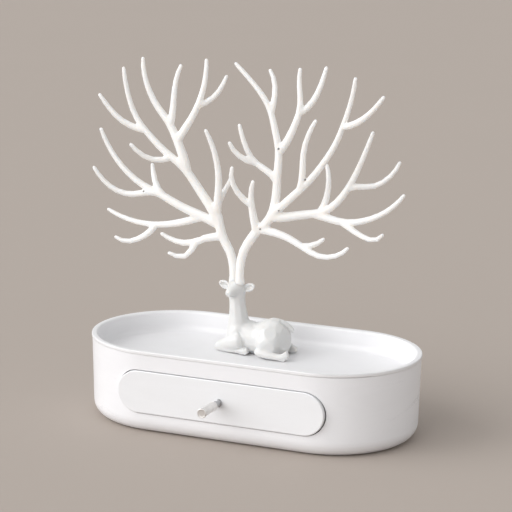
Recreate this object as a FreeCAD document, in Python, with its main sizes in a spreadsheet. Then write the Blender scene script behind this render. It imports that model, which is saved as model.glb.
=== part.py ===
import FreeCAD, Part
import math
import os

import Sketcher
from FreeCAD import Placement, Rotation, Vector

# Jewelry stand: an oval box with a drawer, an open tray on top of it, and a lying deer whose
# two antlers branch out as hangers.
# Frame: origin at the middle of the underside, +X along the box, -Y towards the drawer's
# front, +Z up. All lengths are in millimetres.

SIZES = (
    # box and tray
    ("rim_length", 265, "length over the tray's rim"),
    ("rim_width", 134, "width over the tray's rim"),
    ("box_height", 65, "resting plane to the top of the rim"),
    ("rim_height", 3, "height of the rim that stands on the housing's wall"),
    ("rim_lip", 0.5, "how far the rim stands out past the wall"),
    ("rim_edge_round", 0.8, "rounding of the rim's outer edges"),
    ("rim_inner_round", 2, "rounding of the rim's inner edge"),
    ("wall_lean", 1.5, "how far each wall leans in from its top to the resting plane"),
    ("wall_thickness", 2.2, "housing wall"),
    ("floor_thickness", 3, "housing floor"),
    ("underside_round", 12, "rounding between wall and underside"),
    ("tray_depth", 16, "top of the rim to the tray's floor"),
    ("tray_base", 2, "thickness of the tray's floor"),
    ("tray_wall", 1.8, "thickness of the tray's wall at the rim"),
    ("tray_lean", 0.8, "how far the tray's inner wall leans in over its depth"),
    ("tray_floor_round", 5, "rounding between the tray's wall and floor"),
    ("tray_underside_round", 7, "rounding under the tray, above the drawer front"),
    ("tray_gap", 0.3, "gap between the tray's wall and the housing's"),
    # posts, screws and pads that hold tray and housing together
    ("post_inset", 28.5, "posts from the rim's ends"),
    ("post_y", 24, "posts from the middle along Y"),
    ("post_radius", 4, "tray post"),
    ("boss_radius", 7, "boss on the housing's floor under a post"),
    ("boss_height", 3, "boss above the housing's floor"),
    ("pad_radius", 6, "anti-slip pad"),
    ("pad_thickness", 1.2, "anti-slip pad"),
    ("pad_gap", 0.1, "gap round a pad in its recess"),
    ("head_radius", 2.8, "screw head"),
    ("head_height", 1.8, "screw head"),
    ("head_sink", 0.2, "gap between a pad and the screw head above it"),
    ("shank_radius", 1.3, "screw shank"),
    ("shank_gap", 0.05, "gap round a shank in its pilot hole"),
    ("passage_gap", 0.4, "gap round a shank or head in a clearance hole"),
    ("tray_screw_grip", 10, "thread in a tray post"),
    ("pilot_spare", 0.4, "pilot hole past the end of its screw"),
    ("washer_radius", 4, "washer"),
    ("washer_thickness", 0.8, "washer"),
    # drawer
    ("front_length", 168, "drawer front"),
    ("front_height", 33, "drawer front"),
    ("front_rise", 0.5, "the drawer front's middle line above half the box's height"),
    ("front_thickness", 3.6, "drawer front"),
    ("front_edge_round", 0.8, "rounding of the drawer front's outer edge"),
    ("front_gap", 0.6, "gap round the drawer front in its opening"),
    ("front_overhang", 9, "drawer front past each side of the drawer box"),
    ("drawer_drop", 13.6, "underside of the drawer box below the front's middle line"),
    ("drawer_headroom", 1, "top of the drawer box to the screw heads under the tray"),
    ("drawer_wall", 2, "drawer box wall and floor"),
    ("drawer_corner", 4, "upright corners of the drawer box"),
    ("drawer_edge", 2, "lower edges of the drawer box"),
    ("drawer_inner_round", 1, "rounding of the drawer's inner floor edges"),
    ("drawer_travel", 78, "how far the drawer opens"),
    ("front_screw_x", 60, "drawer front screws from the middle"),
    ("front_screw_z", 5, "drawer front screws above and below the middle line"),
    ("front_screw_grip", 2.2, "thread in the drawer front"),
    # knob
    ("grip_radius", 3.6, "knob grip"),
    ("grip_length", 21, "knob grip"),
    ("grip_collar", 3, "end collar of the grip"),
    ("grip_groove", 0.4, "groove beside the collar: its depth and its width"),
    ("grip_chamfer", 0.6, "ends of the grip"),
    ("stem_radius", 2.6, "knob stem"),
    ("stem_length", 9, "drawer front to the grip"),
    ("stem_foot_radius", 3.2, "foot of the stem on the drawer front"),
    ("stem_foot_height", 1.2, "foot of the stem"),
    ("spigot_radius", 1.8, "spigot of the stem in the grip"),
    ("spigot_length", 6, "spigot of the stem in the grip"),
    ("spigot_gap", 0.05, "gap round the spigot"),
    ("knob_screw_grip", 6, "thread in the stem"),
    # guides and stops
    ("guide_setback", 16.3, "ends of a guide from the housing's wall"),
    ("guide_wall", 2, "drawer guide"),
    ("guide_ledge", 7.5, "ledge under the drawer's edge"),
    ("guide_fence", 10, "fence beside the drawer, above the ledge"),
    ("guide_foot", 6.5, "screwed foot outside the fence"),
    ("guide_screw_inset", 12, "guide screws from the guide's ends"),
    ("floor_screw_grip", 2, "thread in the housing's floor"),
    ("running_gap", 0.3, "gap at the drawer's sliding faces and stops"),
    ("side_gap", 0.5, "gap between the drawer and each guide's fence"),
    ("bumper_radius", 3.5, "rubber bumper"),
    ("bumper_thickness", 2.5, "rubber bumper"),
    ("bumper_x", 40, "bumpers from the middle"),
    ("rib_width", 9, "rib behind a bumper"),
    ("rib_depth", 4.4, "rib behind a bumper, out from the housing's wall"),
    ("rib_top", 40, "top of a rib above the resting plane"),
    ("stop_width", 30, "drawer stop and the drawer's tab"),
    ("stop_foot", 12, "foot of the drawer stop"),
    ("stop_wall", 2.5, "drawer stop"),
    ("tab_depth", 3, "tab under the drawer's back edge"),
    ("tab_height", 4, "tab under the drawer's back edge"),
    ("stop_screw_x", 9, "stop screws from the middle"),
    # deer and antlers
    ("deer_y", 22, "middle of the deer behind the middle of the tray"),
    ("deer_grid", 1, "pitch of the grid that the deer is drawn on"),
    ("deer_screw_front", -24, "front deer screw along X"),
    ("deer_screw_back", 8, "back deer screw along X"),
    ("deer_screw_grip", 7, "thread in the deer"),
    ("antler_grid", 1, "pitch of the grid that the antlers are drawn on"),
    ("antler_peg_radius", 2.3, "peg of an antler in the head"),
    ("antler_peg_length", 7, "peg of an antler in the head"),
    ("antler_peg_gap", 0.1, "gap round a peg in its socket"),
    ("burr_gauge", 7.4, "foot of an antler on the head"),
    ("stem_gauge", 6.6, "antler thickness above its foot"),
    ("beam_gauge", 7.6, "root thickness of a beam"),
    ("bough_gauge", 6.4, "root thickness of a bough"),
    ("tine_gauge", 5.4, "root thickness of a tine"),
    ("twig_gauge", 4.8, "root thickness of a twig"),
    ("tip_gauge", 3.2, "thickness at a tip"),
    ("limb_pitch", 7, "distance between the sections of a limb"),
)

doc = FreeCAD.newDocument("jewelry_stand")
sheet = doc.addObject("Spreadsheet::Sheet", "Sizes")
for row, (alias, number, use) in enumerate(SIZES, start=1):
    sheet.set(f"A{row}", use)
    sheet.set(f"B{row}", str(number))
    sheet.setAlias(f"B{row}", alias)
doc.recompute()


class Size:
    """A length held both as an expression on the sheet and as its present value."""

    def __init__(self, text, value):
        self.text = text
        self.value = value

    def joined(self, sign, other, value):
        text = other.text if isinstance(other, Size) else repr(other)
        return Size(f"({self.text} {sign} {text})", value)

    def __float__(self):
        return float(self.value)

    def __add__(self, other):
        return self.joined("+", other, self.value + float(other))

    def __sub__(self, other):
        return self.joined("-", other, self.value - float(other))

    def __mul__(self, other):
        return self.joined("*", other, self.value * float(other))

    def __truediv__(self, other):
        return self.joined("/", other, self.value / float(other))

    def __neg__(self):
        return Size(f"(-{self.text})", -self.value)


def size(alias):
    return Size(f"Sizes.{alias}", float(sheet.get(alias)))


def slope(run, rise):
    """The angle, in degrees, of a side that leans by run over rise."""
    return Size(f"atan({(run / rise).text})", math.degrees(math.atan(float(run) / float(rise))))


ZERO = Size("0", 0.0)

# levels above the resting plane
wall_top = size("box_height") - size("rim_height")
tray_floor = size("box_height") - size("tray_depth")
tray_underside = tray_floor - size("tray_base")
boss_top = size("floor_thickness") + size("boss_height")
head_seat = size("pad_thickness") + size("head_sink") + size("head_height")
front_middle = size("box_height") / 2 + size("front_rise")
drawer_bottom = front_middle - size("drawer_drop")
drawer_top = (
    tray_underside - size("washer_thickness") - size("head_height") - size("drawer_headroom")
)
drawer_floor = drawer_bottom + size("drawer_wall")

# outlines of the ovals
wall_length = size("rim_length") - size("rim_lip") * 2
wall_width = size("rim_width") - size("rim_lip") * 2
cavity_length = wall_length - size("wall_thickness") * 2
cavity_width = wall_width - size("wall_thickness") * 2
skirt_length = cavity_length - size("tray_gap") * 2
skirt_width = cavity_width - size("tray_gap") * 2
hollow_length = skirt_length - size("tray_wall") * 2
hollow_width = skirt_width - size("tray_wall") * 2
opening_length = size("front_length") + size("front_gap") * 2
opening_height = size("front_height") + size("front_gap") * 2

# places along Y, counted from the middle towards the back
front_face = -size("rim_width") / 2
front_back = front_face + size("front_thickness")
rib_face = cavity_width / 2 - size("wall_lean") - size("rib_depth")
drawer_back = rib_face - size("bumper_thickness") - size("running_gap")
tab_face = drawer_back - size("tab_depth")
stop_face = tab_face - size("drawer_travel") - size("running_gap")
drawer_front_inside = front_back + size("drawer_wall")

# places across the drawer, counted from the middle
drawer_side = size("front_length") / 2 - size("front_overhang")
fence_face = drawer_side + size("side_gap")
fence_back = fence_face + size("guide_wall")
guide_screw_x = fence_back + size("guide_foot") / 2
guide_length = cavity_width - size("guide_setback") * 2
guide_screw_y = guide_length / 2 - size("guide_screw_inset")
ledge_top = drawer_bottom - size("running_gap")

wall_angle = slope(size("wall_lean"), wall_top)
passage_radius = size("shank_radius") + size("passage_gap")
pilot_radius = size("shank_radius") + size("shank_gap")
recess_radius = size("head_radius") + size("passage_gap")

subparts = []


def bind(thing, **sizes):
    for name, bound in sizes.items():
        thing.setExpression(name, bound.text)


def place(thing, x=ZERO, y=ZERO, z=ZERO, turn=Rotation()):
    """Puts a sub-part or primitive at sheet-bound coordinates."""
    thing.Placement = Placement(Vector(float(x), float(y), float(z)), turn)
    for name, bound in (("x", x), ("y", y), ("z", z)):
        thing.setExpression(f"Placement.Base.{name}", bound.text)


def subpart(kind, name):
    thing = doc.addObject(kind, name)
    thing.Label = name
    subparts.append(thing)
    return thing


def sketch(body, name, role, offset=ZERO):
    """An empty sketch on one of the body's origin planes, moved along that plane's normal."""
    plane = next(item for item in body.Origin.OriginFeatures if item.Role == role)
    made = body.newObject("Sketcher::SketchObject", name)
    made.AttachmentSupport = [(plane, "")]
    made.MapMode = "FlatFace"
    made.AttachmentOffset = Placement(Vector(0, 0, float(offset)), Rotation())
    made.setExpression("AttachmentOffset.Base.z", offset.text)
    return made


def hold(made, kind, *where, bound):
    """Adds a dimensional constraint and binds it to the sheet."""
    index = made.addConstraint(Sketcher.Constraint(kind, *where, float(bound)))
    made.setExpression(f"Constraints[{index}]", bound.text)


def hold_point(made, shape, end, x, y):
    """Fixes one point of a sketch at sheet-bound coordinates."""
    if float(x) == 0:
        made.addConstraint(Sketcher.Constraint("PointOnObject", shape, end, -2))
    else:
        hold(made, "DistanceX", -1, 1, shape, end, bound=x)
    if float(y) == 0:
        made.addConstraint(Sketcher.Constraint("PointOnObject", shape, end, -1))
    else:
        hold(made, "DistanceY", -1, 1, shape, end, bound=y)


def oval(made, length, width, middle=ZERO):
    """Two straight sides joined by two half circles, round the sketch's middle line."""
    radius = float(width) / 2
    reach = float(length) / 2 - radius
    level = float(middle)
    up = Vector(0, 0, 1)
    right = Part.Circle(Vector(reach, level, 0), up, radius)
    left = Part.Circle(Vector(-reach, level, 0), up, radius)
    quarter = math.pi / 2
    low = Part.LineSegment(Vector(-reach, level - radius, 0), Vector(reach, level - radius, 0))
    high = Part.LineSegment(Vector(reach, level + radius, 0), Vector(-reach, level + radius, 0))
    made.addGeometry(low)
    made.addGeometry(Part.ArcOfCircle(right, -quarter, quarter))
    made.addGeometry(high)
    made.addGeometry(Part.ArcOfCircle(left, quarter, 3 * quarter))
    for first in range(4):
        made.addConstraint(Sketcher.Constraint("Tangent", first, 2, (first + 1) % 4, 1))
    made.addConstraint(Sketcher.Constraint("Horizontal", 0))
    hold(made, "Radius", 1, bound=width / 2)
    hold_point(made, 1, 3, length / 2 - width / 2, middle)
    hold(made, "DistanceX", 3, 3, 1, 3, bound=length - width)


def outline(made, points):
    """A closed outline of straight lines through sheet-bound points."""
    first = made.GeometryCount
    count = len(points)
    flat = [Vector(float(x), float(y), 0) for x, y in points]
    for index, start in enumerate(flat):
        made.addGeometry(Part.LineSegment(start, flat[(index + 1) % count]))
    for index, (x, y) in enumerate(points):
        before = first + (index - 1) % count
        made.addConstraint(Sketcher.Constraint("Coincident", before, 2, first + index, 1))
        hold_point(made, first + index, 1, x, y)


def rectangle(made, left, right, low, high):
    outline(made, ((left, low), (right, low), (right, high), (left, high)))


def circles(made, radius, places):
    for index, (x, y) in enumerate(places):
        middle = Vector(float(x), float(y), 0)
        made.addGeometry(Part.Circle(middle, Vector(0, 0, 1), float(radius)))
        hold(made, "Radius", index, bound=radius)
        hold_point(made, index, 3, x, y)


def corners(x, y):
    return [(x, y), (-x, y), (-x, -y), (x, -y)]


def pad(body, made, length, backwards=False, angle=None, midplane=False):
    """Adds material from a sketch, and checks that the body grew."""
    before = body.Shape.Volume if body.Tip else 0
    feature = body.newObject("PartDesign::Pad", made.Name + "_pad")
    feature.Profile = made
    bind(feature, Length=length)
    feature.Reversed = backwards
    feature.Midplane = midplane
    if angle:
        bind(feature, TaperAngle=angle)
    doc.recompute()
    if not body.Shape.Volume > before:
        raise RuntimeError(f"{feature.Name} added nothing")
    return feature


def pocket(body, made, depth, backwards=False, angle=None):
    """Cuts a sketch out of the body, and checks that the body shrank."""
    before = body.Shape.Volume
    feature = body.newObject("PartDesign::Pocket", made.Name + "_pocket")
    feature.Profile = made
    bind(feature, Length=depth)
    feature.Reversed = backwards
    if angle:
        bind(feature, TaperAngle=angle)
    doc.recompute()
    if not body.Shape.Volume < before:
        raise RuntimeError(f"{feature.Name} cut nothing")
    return feature


def revolve(body, made):
    feature = body.newObject("PartDesign::Revolution", made.Name + "_turned")
    feature.Profile = made
    feature.ReferenceAxis = (made, ["V_Axis"])
    feature.Angle = 360
    doc.recompute()
    return feature


def round_edges(body, name, radius, wanted):
    """Fillets the body's edges that the wanted test accepts."""
    base = body.Tip
    names = [f"Edge{i}" for i, edge in enumerate(base.Shape.Edges, start=1) if wanted(edge)]
    feature = body.newObject("PartDesign::Fillet", name)
    feature.Base = (base, names)
    bind(feature, Radius=radius)
    doc.recompute()
    return feature


def at_level(level):
    """Test for an edge that lies flat at one height."""
    height = float(level)
    return lambda edge: (
        abs(edge.BoundBox.ZMin - height) < 1e-4 and abs(edge.BoundBox.ZMax - height) < 1e-4
    )


def at_depth(depth):
    """Test for an edge that lies in one plane across Y."""
    place_y = float(depth)
    return lambda edge: (
        abs(edge.BoundBox.YMin - place_y) < 1e-4 and abs(edge.BoundBox.YMax - place_y) < 1e-4
    )


def upright(edge):
    """Test for a straight edge along Z."""
    box = edge.BoundBox
    return box.XLength < 1e-4 and box.YLength < 1e-4


def upright_inside(reach):
    """Test for an upright edge nearer to the middle than the reach along X."""
    return lambda edge: upright(edge) and abs(edge.BoundBox.XMax) < float(reach)


def at_level_inside(level, reach):
    """Test for a flat edge at one height that stays inside the reach along Y."""
    flat = at_level(level)
    return lambda edge: (
        flat(edge) and max(edge.BoundBox.YMax, -edge.BoundBox.YMin) < float(reach)
    )


# Housing: the tapered oval wall with its rounded underside, the floor and what is moulded on it

post_places = corners(size("rim_length") / 2 - size("post_inset"), size("post_y"))
guide_screw_places = corners(guide_screw_x, guide_screw_y)
stop_screw_y = stop_face - (size("stop_foot") + size("stop_wall")) / 2
stop_screw_places = ((size("stop_screw_x"), stop_screw_y), (-size("stop_screw_x"), stop_screw_y))


def make_housing():
    body = subpart("PartDesign::Body", "housing")
    foot = sketch(body, "housing_foot", "XY_Plane")
    lean = size("wall_lean") * 2
    oval(foot, wall_length - lean, wall_width - lean)
    pad(body, foot, wall_top, angle=wall_angle)

    hollow = sketch(body, "housing_hollow", "XY_Plane", wall_top)
    oval(hollow, cavity_length, cavity_width)
    pocket(body, hollow, wall_top - size("floor_thickness"), angle=-wall_angle)
    inner_round = size("underside_round") - size("wall_thickness")
    round_edges(body, "housing_floor_edge", inner_round, at_level(size("floor_thickness")))
    round_edges(body, "housing_underside", size("underside_round"), at_level(ZERO))

    bosses = sketch(body, "housing_bosses", "XY_Plane", size("floor_thickness"))
    circles(bosses, size("boss_radius"), post_places)
    pad(body, bosses, size("boss_height"))
    pads = sketch(body, "housing_pad_recesses", "XY_Plane")
    circles(pads, size("pad_radius") + size("pad_gap"), post_places)
    pocket(body, pads, size("pad_thickness"), backwards=True)
    heads = sketch(body, "housing_head_recesses", "XY_Plane", size("pad_thickness"))
    circles(heads, recess_radius, post_places)
    pocket(body, heads, head_seat - size("pad_thickness"), backwards=True)
    shanks = sketch(body, "housing_screw_holes", "XY_Plane", head_seat)
    circles(shanks, passage_radius, post_places)
    pocket(body, shanks, boss_top - head_seat, backwards=True)

    mouth = sketch(body, "housing_drawer_mouth", "XZ_Plane", -front_face)
    oval(mouth, opening_length, opening_height, front_middle)
    pocket(body, mouth, size("underside_round"))

    ribs = sketch(body, "housing_ribs", "XY_Plane", size("underside_round"))
    half = size("rib_width") / 2
    wall_middle = wall_width / 2 - size("wall_lean") - size("wall_thickness") / 2
    for middle in (size("bumper_x"), -size("bumper_x")):
        rectangle(ribs, middle - half, middle + half, rib_face, wall_middle)
    pad(body, ribs, size("rib_top") - size("underside_round"))

    holes = sketch(body, "housing_floor_holes", "XY_Plane", size("floor_thickness"))
    circles(holes, pilot_radius, guide_screw_places + list(stop_screw_places))
    pocket(body, holes, size("floor_screw_grip") + size("pilot_spare"))


# Tray: it hangs in the housing's top by its rim, on four posts that are screwed from below

screw_front = (size("deer_screw_front"), size("deer_y"))
screw_back = (size("deer_screw_back"), size("deer_y"))


def make_tray():
    body = subpart("PartDesign::Body", "tray")
    rim = sketch(body, "tray_rim", "XY_Plane", wall_top)
    oval(rim, size("rim_length"), size("rim_width"))
    pad(body, rim, size("rim_height"))
    round_edges(body, "tray_rim_top", size("rim_edge_round"), at_level(size("box_height")))
    round_edges(body, "tray_rim_bottom", size("rim_edge_round"), at_level(wall_top))

    skirt = sketch(body, "tray_skirt", "XY_Plane", wall_top)
    oval(skirt, skirt_length, skirt_width)
    pad(body, skirt, wall_top - tray_underside, backwards=True, angle=-wall_angle)
    round_edges(body, "tray_underside", size("tray_underside_round"), at_level(tray_underside))

    hollow = sketch(body, "tray_hollow", "XY_Plane", size("box_height"))
    oval(hollow, hollow_length, hollow_width)
    lean = slope(size("tray_lean"), size("tray_depth"))
    pocket(body, hollow, size("tray_depth"), angle=-lean)
    round_edges(body, "tray_floor_edge", size("tray_floor_round"), at_level(tray_floor))
    inner_rim = at_level_inside(size("box_height"), hollow_width / 2 + size("rim_lip"))
    round_edges(body, "tray_rim_inner", size("rim_inner_round"), inner_rim)

    posts = sketch(body, "tray_posts", "XY_Plane", tray_underside)
    circles(posts, size("post_radius"), post_places)
    pad(body, posts, tray_underside - boss_top, backwards=True)
    pilots = sketch(body, "tray_post_pilots", "XY_Plane", boss_top)
    circles(pilots, pilot_radius, post_places)
    pocket(body, pilots, size("tray_screw_grip") + size("pilot_spare"), backwards=True)
    holes = sketch(body, "tray_deer_holes", "XY_Plane", tray_floor)
    circles(holes, passage_radius, (screw_front, screw_back))
    pocket(body, holes, size("tray_base"))


# Drawer: an oval front screwed to a rectangular box, with a tab that meets the stop

front_screw_places = [
    (x, front_middle + z)
    for x, z in corners(size("front_screw_x"), size("front_screw_z"))
]
knob_place = (ZERO, front_middle)


def make_drawer_front():
    body = subpart("PartDesign::Body", "drawer_front")
    face = sketch(body, "front_outline", "XZ_Plane", -front_back)
    oval(face, size("front_length"), size("front_height"), front_middle)
    pad(body, face, size("front_thickness"))
    round_edges(body, "front_edge", size("front_edge_round"), at_depth(front_face))
    hole = sketch(body, "front_knob_hole", "XZ_Plane", -front_face)
    circles(hole, passage_radius, (knob_place,))
    pocket(body, hole, size("front_thickness"))
    pilots = sketch(body, "front_pilots", "XZ_Plane", -front_back)
    circles(pilots, pilot_radius, front_screw_places)
    pocket(body, pilots, size("front_screw_grip") + size("pilot_spare"), backwards=True)


def make_drawer_box():
    body = subpart("PartDesign::Body", "drawer_box")
    half = drawer_side
    block = sketch(body, "box_outline", "XY_Plane", drawer_bottom)
    rectangle(block, -half, half, front_back, drawer_back)
    pad(body, block, drawer_top - drawer_bottom)
    round_edges(body, "box_corners", size("drawer_corner"), upright)
    round_edges(body, "box_lower_edges", size("drawer_edge"), at_level(drawer_bottom))

    wall = size("drawer_wall")
    inner = half - wall
    hollow = sketch(body, "box_hollow", "XY_Plane", drawer_top)
    rectangle(hollow, -inner, inner, drawer_front_inside, drawer_back - wall)
    pocket(body, hollow, drawer_top - drawer_floor)
    inner_corner = size("drawer_corner") - wall
    round_edges(body, "box_inner_corners", inner_corner, upright_inside(inner + wall / 4))
    round_edges(body, "box_floor_edge", size("drawer_inner_round"), at_level(drawer_floor))

    tab = sketch(body, "box_tab", "XY_Plane", drawer_bottom + size("drawer_edge"))
    tab_half = size("stop_width") / 2
    rectangle(tab, -tab_half, tab_half, tab_face, drawer_back)
    pad(body, tab, size("drawer_edge") + size("tab_height"), backwards=True)

    holes = sketch(body, "box_screw_holes", "XZ_Plane", -front_back)
    circles(holes, passage_radius, front_screw_places + [knob_place])
    pocket(body, holes, wall)


# Knob: a turned stem and a collared grip, held by one screw from inside the drawer


def make_knob():
    towards_front = Rotation(Vector(1, 0, 0), 90)
    stem = subpart("PartDesign::Body", "knob_stem")
    profile = sketch(stem, "stem_profile", "XZ_Plane")
    stem_end = size("stem_length") + size("spigot_length")
    hole_end = size("knob_screw_grip") + size("pilot_spare")
    outline(profile, (
        (pilot_radius, ZERO),
        (size("stem_foot_radius"), ZERO),
        (size("stem_foot_radius"), size("stem_foot_height")),
        (size("stem_radius"), size("stem_foot_height")),
        (size("stem_radius"), size("stem_length")),
        (size("spigot_radius"), size("stem_length")),
        (size("spigot_radius"), stem_end),
        (ZERO, stem_end),
        (ZERO, hole_end),
        (pilot_radius, hole_end),
    ))
    revolve(stem, profile)
    place(stem, y=front_face, z=front_middle, turn=towards_front)

    grip = subpart("PartDesign::Body", "knob_grip")
    profile = sketch(grip, "grip_profile", "XZ_Plane")
    bore = size("spigot_radius") + size("spigot_gap")
    bore_end = size("spigot_length") + size("running_gap")
    radius = size("grip_radius")
    end = size("grip_length")
    chamfer = size("grip_chamfer")
    collar = end - size("grip_collar")
    groove = size("grip_groove")
    outline(profile, (
        (bore, ZERO),
        (radius - chamfer, ZERO),
        (radius, chamfer),
        (radius, collar - groove),
        (radius - groove, collar - groove),
        (radius - groove, collar),
        (radius, collar),
        (radius, end - chamfer),
        (radius - chamfer, end),
        (ZERO, end),
        (ZERO, bore_end),
        (bore, bore_end),
    ))
    revolve(grip, profile)
    place(grip, y=front_face - size("stem_length"), z=front_middle, turn=towards_front)


# Guides and stop: ledges that carry the drawer's lower edges, and the block that ends its travel


def make_guide(name, side):
    body = subpart("PartDesign::Body", name)
    wall = size("guide_wall")
    base = size("floor_thickness")
    foot_top = base + wall
    profile = sketch(body, name + "_profile", "XZ_Plane")
    points = (
        (fence_face, base),
        (fence_back + size("guide_foot"), base),
        (fence_back + size("guide_foot"), foot_top),
        (fence_back, foot_top),
        (fence_back, ledge_top + size("guide_fence")),
        (fence_face, ledge_top + size("guide_fence")),
        (fence_face, ledge_top),
        (fence_face - size("guide_ledge"), ledge_top),
        (fence_face - size("guide_ledge"), ledge_top - wall),
        (fence_face, ledge_top - wall),
    )
    outline(profile, tuple((x * side, z) for x, z in points))
    pad(body, profile, guide_length, midplane=True)
    holes = sketch(body, name + "_holes", "XY_Plane", foot_top)
    middle = guide_screw_x * side
    circles(holes, passage_radius, ((middle, guide_screw_y), (middle, -guide_screw_y)))
    pocket(body, holes, wall)


def make_stop():
    body = subpart("PartDesign::Body", "drawer_stop")
    base = size("floor_thickness")
    foot_top = base + size("guide_wall")
    wall_front = stop_face - size("stop_wall")
    foot_front = wall_front - size("stop_foot")
    profile = sketch(body, "stop_profile", "YZ_Plane")
    outline(profile, (
        (foot_front, base),
        (stop_face, base),
        (stop_face, ledge_top),
        (wall_front, ledge_top),
        (wall_front, foot_top),
        (foot_front, foot_top),
    ))
    pad(body, profile, size("stop_width"), midplane=True)
    gusset = sketch(body, "stop_gusset", "YZ_Plane")
    outline(gusset, ((foot_front, foot_top), (wall_front, foot_top), (wall_front, ledge_top)))
    pad(body, gusset, size("stop_wall"), midplane=True)
    holes = sketch(body, "stop_holes", "XY_Plane", foot_top)
    circles(holes, passage_radius, stop_screw_places)
    pocket(body, holes, size("guide_wall"))


# Screws, washers, pads and bumpers

UP = (Rotation(), "z", 1)
DOWN = (Rotation(Vector(1, 0, 0), 180), "z", -1)
FRONTWARD = (Rotation(Vector(1, 0, 0), 90), "y", -1)


def cylinder(name, radius, length, spot, way):
    made = doc.addObject("Part::Cylinder", name)
    bind(made, Radius=radius, Height=length)
    place(made, turn=way[0], **spot)
    return made


def shifted(spot, way, distance):
    """The spot moved by a distance along the way."""
    axis, sign = way[1:]
    return {**spot, axis: spot[axis] + distance * sign}


def group(name, members):
    made = subpart("Part::Compound", name)
    made.Links = members


def screw(name, reach, spot, way):
    """A screw whose head sits at the spot and whose shank reaches along the way."""
    head_spot = shifted(spot, way, -size("head_height"))
    head = cylinder(name + "_head", size("head_radius"), size("head_height"), head_spot, way)
    shank = cylinder(name + "_shank", size("shank_radius"), reach, spot, way)
    made = doc.addObject("Part::Fuse", name)
    made.Base = head
    made.Tool = shank
    return made


def screws(name, reach, spots, way):
    members = [screw(f"{name}_{i}", reach, spot, way) for i, spot in enumerate(spots, start=1)]
    group(name, members)


def washer(name, spot, way):
    disc = cylinder(name + "_disc", size("washer_radius"), size("washer_thickness"), spot, way)
    hole = cylinder(name + "_hole", passage_radius, size("washer_thickness"), spot, way)
    made = doc.addObject("Part::Cut", name)
    made.Base = disc
    made.Tool = hole
    return made


def spots_at(places, across, level):
    """Spots from pairs of lengths, all at one level along the remaining axis."""
    axes = ("x", "z") if across == "y" else ("x", "y")
    return [{axes[0]: a, axes[1]: b, across: level} for a, b in places]


def make_fittings():
    tray_reach = boss_top - head_seat + size("tray_screw_grip")
    screws("tray_screws", tray_reach, spots_at(post_places, "z", head_seat), UP)

    front_reach = size("drawer_wall") + size("front_screw_grip")
    front_spots = spots_at(front_screw_places, "y", drawer_front_inside)
    screws("drawer_front_screws", front_reach, front_spots, FRONTWARD)

    foot_top = size("floor_thickness") + size("guide_wall")
    floor_reach = size("guide_wall") + size("floor_screw_grip")
    screws("guide_screws", floor_reach, spots_at(guide_screw_places, "z", foot_top), DOWN)
    screws("drawer_stop_screws", floor_reach, spots_at(stop_screw_places, "z", foot_top), DOWN)

    washer_face = drawer_front_inside + size("washer_thickness")
    group("knob_washer", [washer("knob_ring", spots_at([knob_place], "y", washer_face)[0], FRONTWARD)])
    knob_reach = size("washer_thickness") + size("drawer_wall") + size("front_thickness")
    knob_reach = knob_reach + size("knob_screw_grip")
    screws("knob_screw", knob_reach, spots_at([knob_place], "y", washer_face), FRONTWARD)

    seat = tray_underside - size("washer_thickness")
    deer_spots = spots_at((screw_front, screw_back), "z", seat)
    rings = [washer(f"deer_ring_{i}", spot, UP) for i, spot in enumerate(deer_spots, start=1)]
    group("deer_washers", rings)
    deer_reach = size("washer_thickness") + size("tray_base") + size("deer_screw_grip")
    screws("deer_screws", deer_reach, deer_spots, UP)

    pads = [
        cylinder(f"foot_pad_{i}", size("pad_radius"), size("pad_thickness"), spot, UP)
        for i, spot in enumerate(spots_at(post_places, "z", ZERO), start=1)
    ]
    group("foot_pads", pads)

    bumper_level = (drawer_bottom + drawer_top) / 2
    bumper_places = ((size("bumper_x"), bumper_level), (-size("bumper_x"), bumper_level))
    bumpers = [
        cylinder(f"bumper_{i}", size("bumper_radius"), size("bumper_thickness"), spot, FRONTWARD)
        for i, spot in enumerate(spots_at(bumper_places, "y", rib_face), start=1)
    ]
    group("rear_bumpers", bumpers)


# Deer and antlers: closed forms between polygon sections, drawn on a grid of their own

LIMB_SIDES = 8
FLESH_SIDES = 14


def corner_reach(sides):
    """How far the corners of a polygon lie out from a circle of about the same area."""
    return 1 / math.sqrt(math.cos(math.pi / sides))


def ring(middle, across, rise, sides):
    """A closed polygon round a middle point, with the area of the ellipse of two half axes."""
    grow = corner_reach(sides)
    turns = [2 * math.pi * (corner + 0.5) / sides for corner in range(sides)]
    points = [
        middle + across * (grow * math.cos(turn)) + rise * (grow * math.sin(turn))
        for turn in turns
    ]
    return Part.makePolygon(points + points[:1])


def triangle(a, b, c):
    return Part.Face(Part.makePolygon([a, b, c, a]))


def skin(rings):
    """A closed solid of flat facets from each polygon section to the next."""
    faces = [Part.Face(rings[0]), Part.Face(rings[-1])]
    loops = [[vertex.Point for vertex in one.OrderedVertexes] for one in rings]
    for low, high in zip(loops, loops[1:]):
        for corner, start in enumerate(low):
            after = (corner + 1) % len(low)
            faces.append(triangle(start, low[after], high[after]))
            faces.append(triangle(start, high[after], high[corner]))
    solid = Part.makeSolid(Part.makeShell(faces))
    if solid.Volume < 0:
        solid.reverse()
    return solid


def merged(solids):
    """One solid out of solids that grow into one another."""
    whole = solids[0].multiFuse(solids[1:])
    return whole.Solids[0] if len(whole.Solids) == 1 else whole


def flesh(sections, normal):
    """A body part through elliptical sections: middle, half width and half height of each."""
    grid = float(size("deer_grid"))
    across, rise = normal
    rings = [
        ring(Vector(*middle) * grid, across * (wide * grid), rise * (high * grid), FLESH_SIDES)
        for middle, wide, high in sections
    ]
    return skin(rings)


ACROSS_BODY = (Vector(0, 1, 0), Vector(0, 0, 1))
ACROSS_NECK = (Vector(1, 0, 0), Vector(0, 1, 0))
ACROSS_SIDE = (Vector(1, 0, 0), Vector(0, 0, 1))

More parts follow.
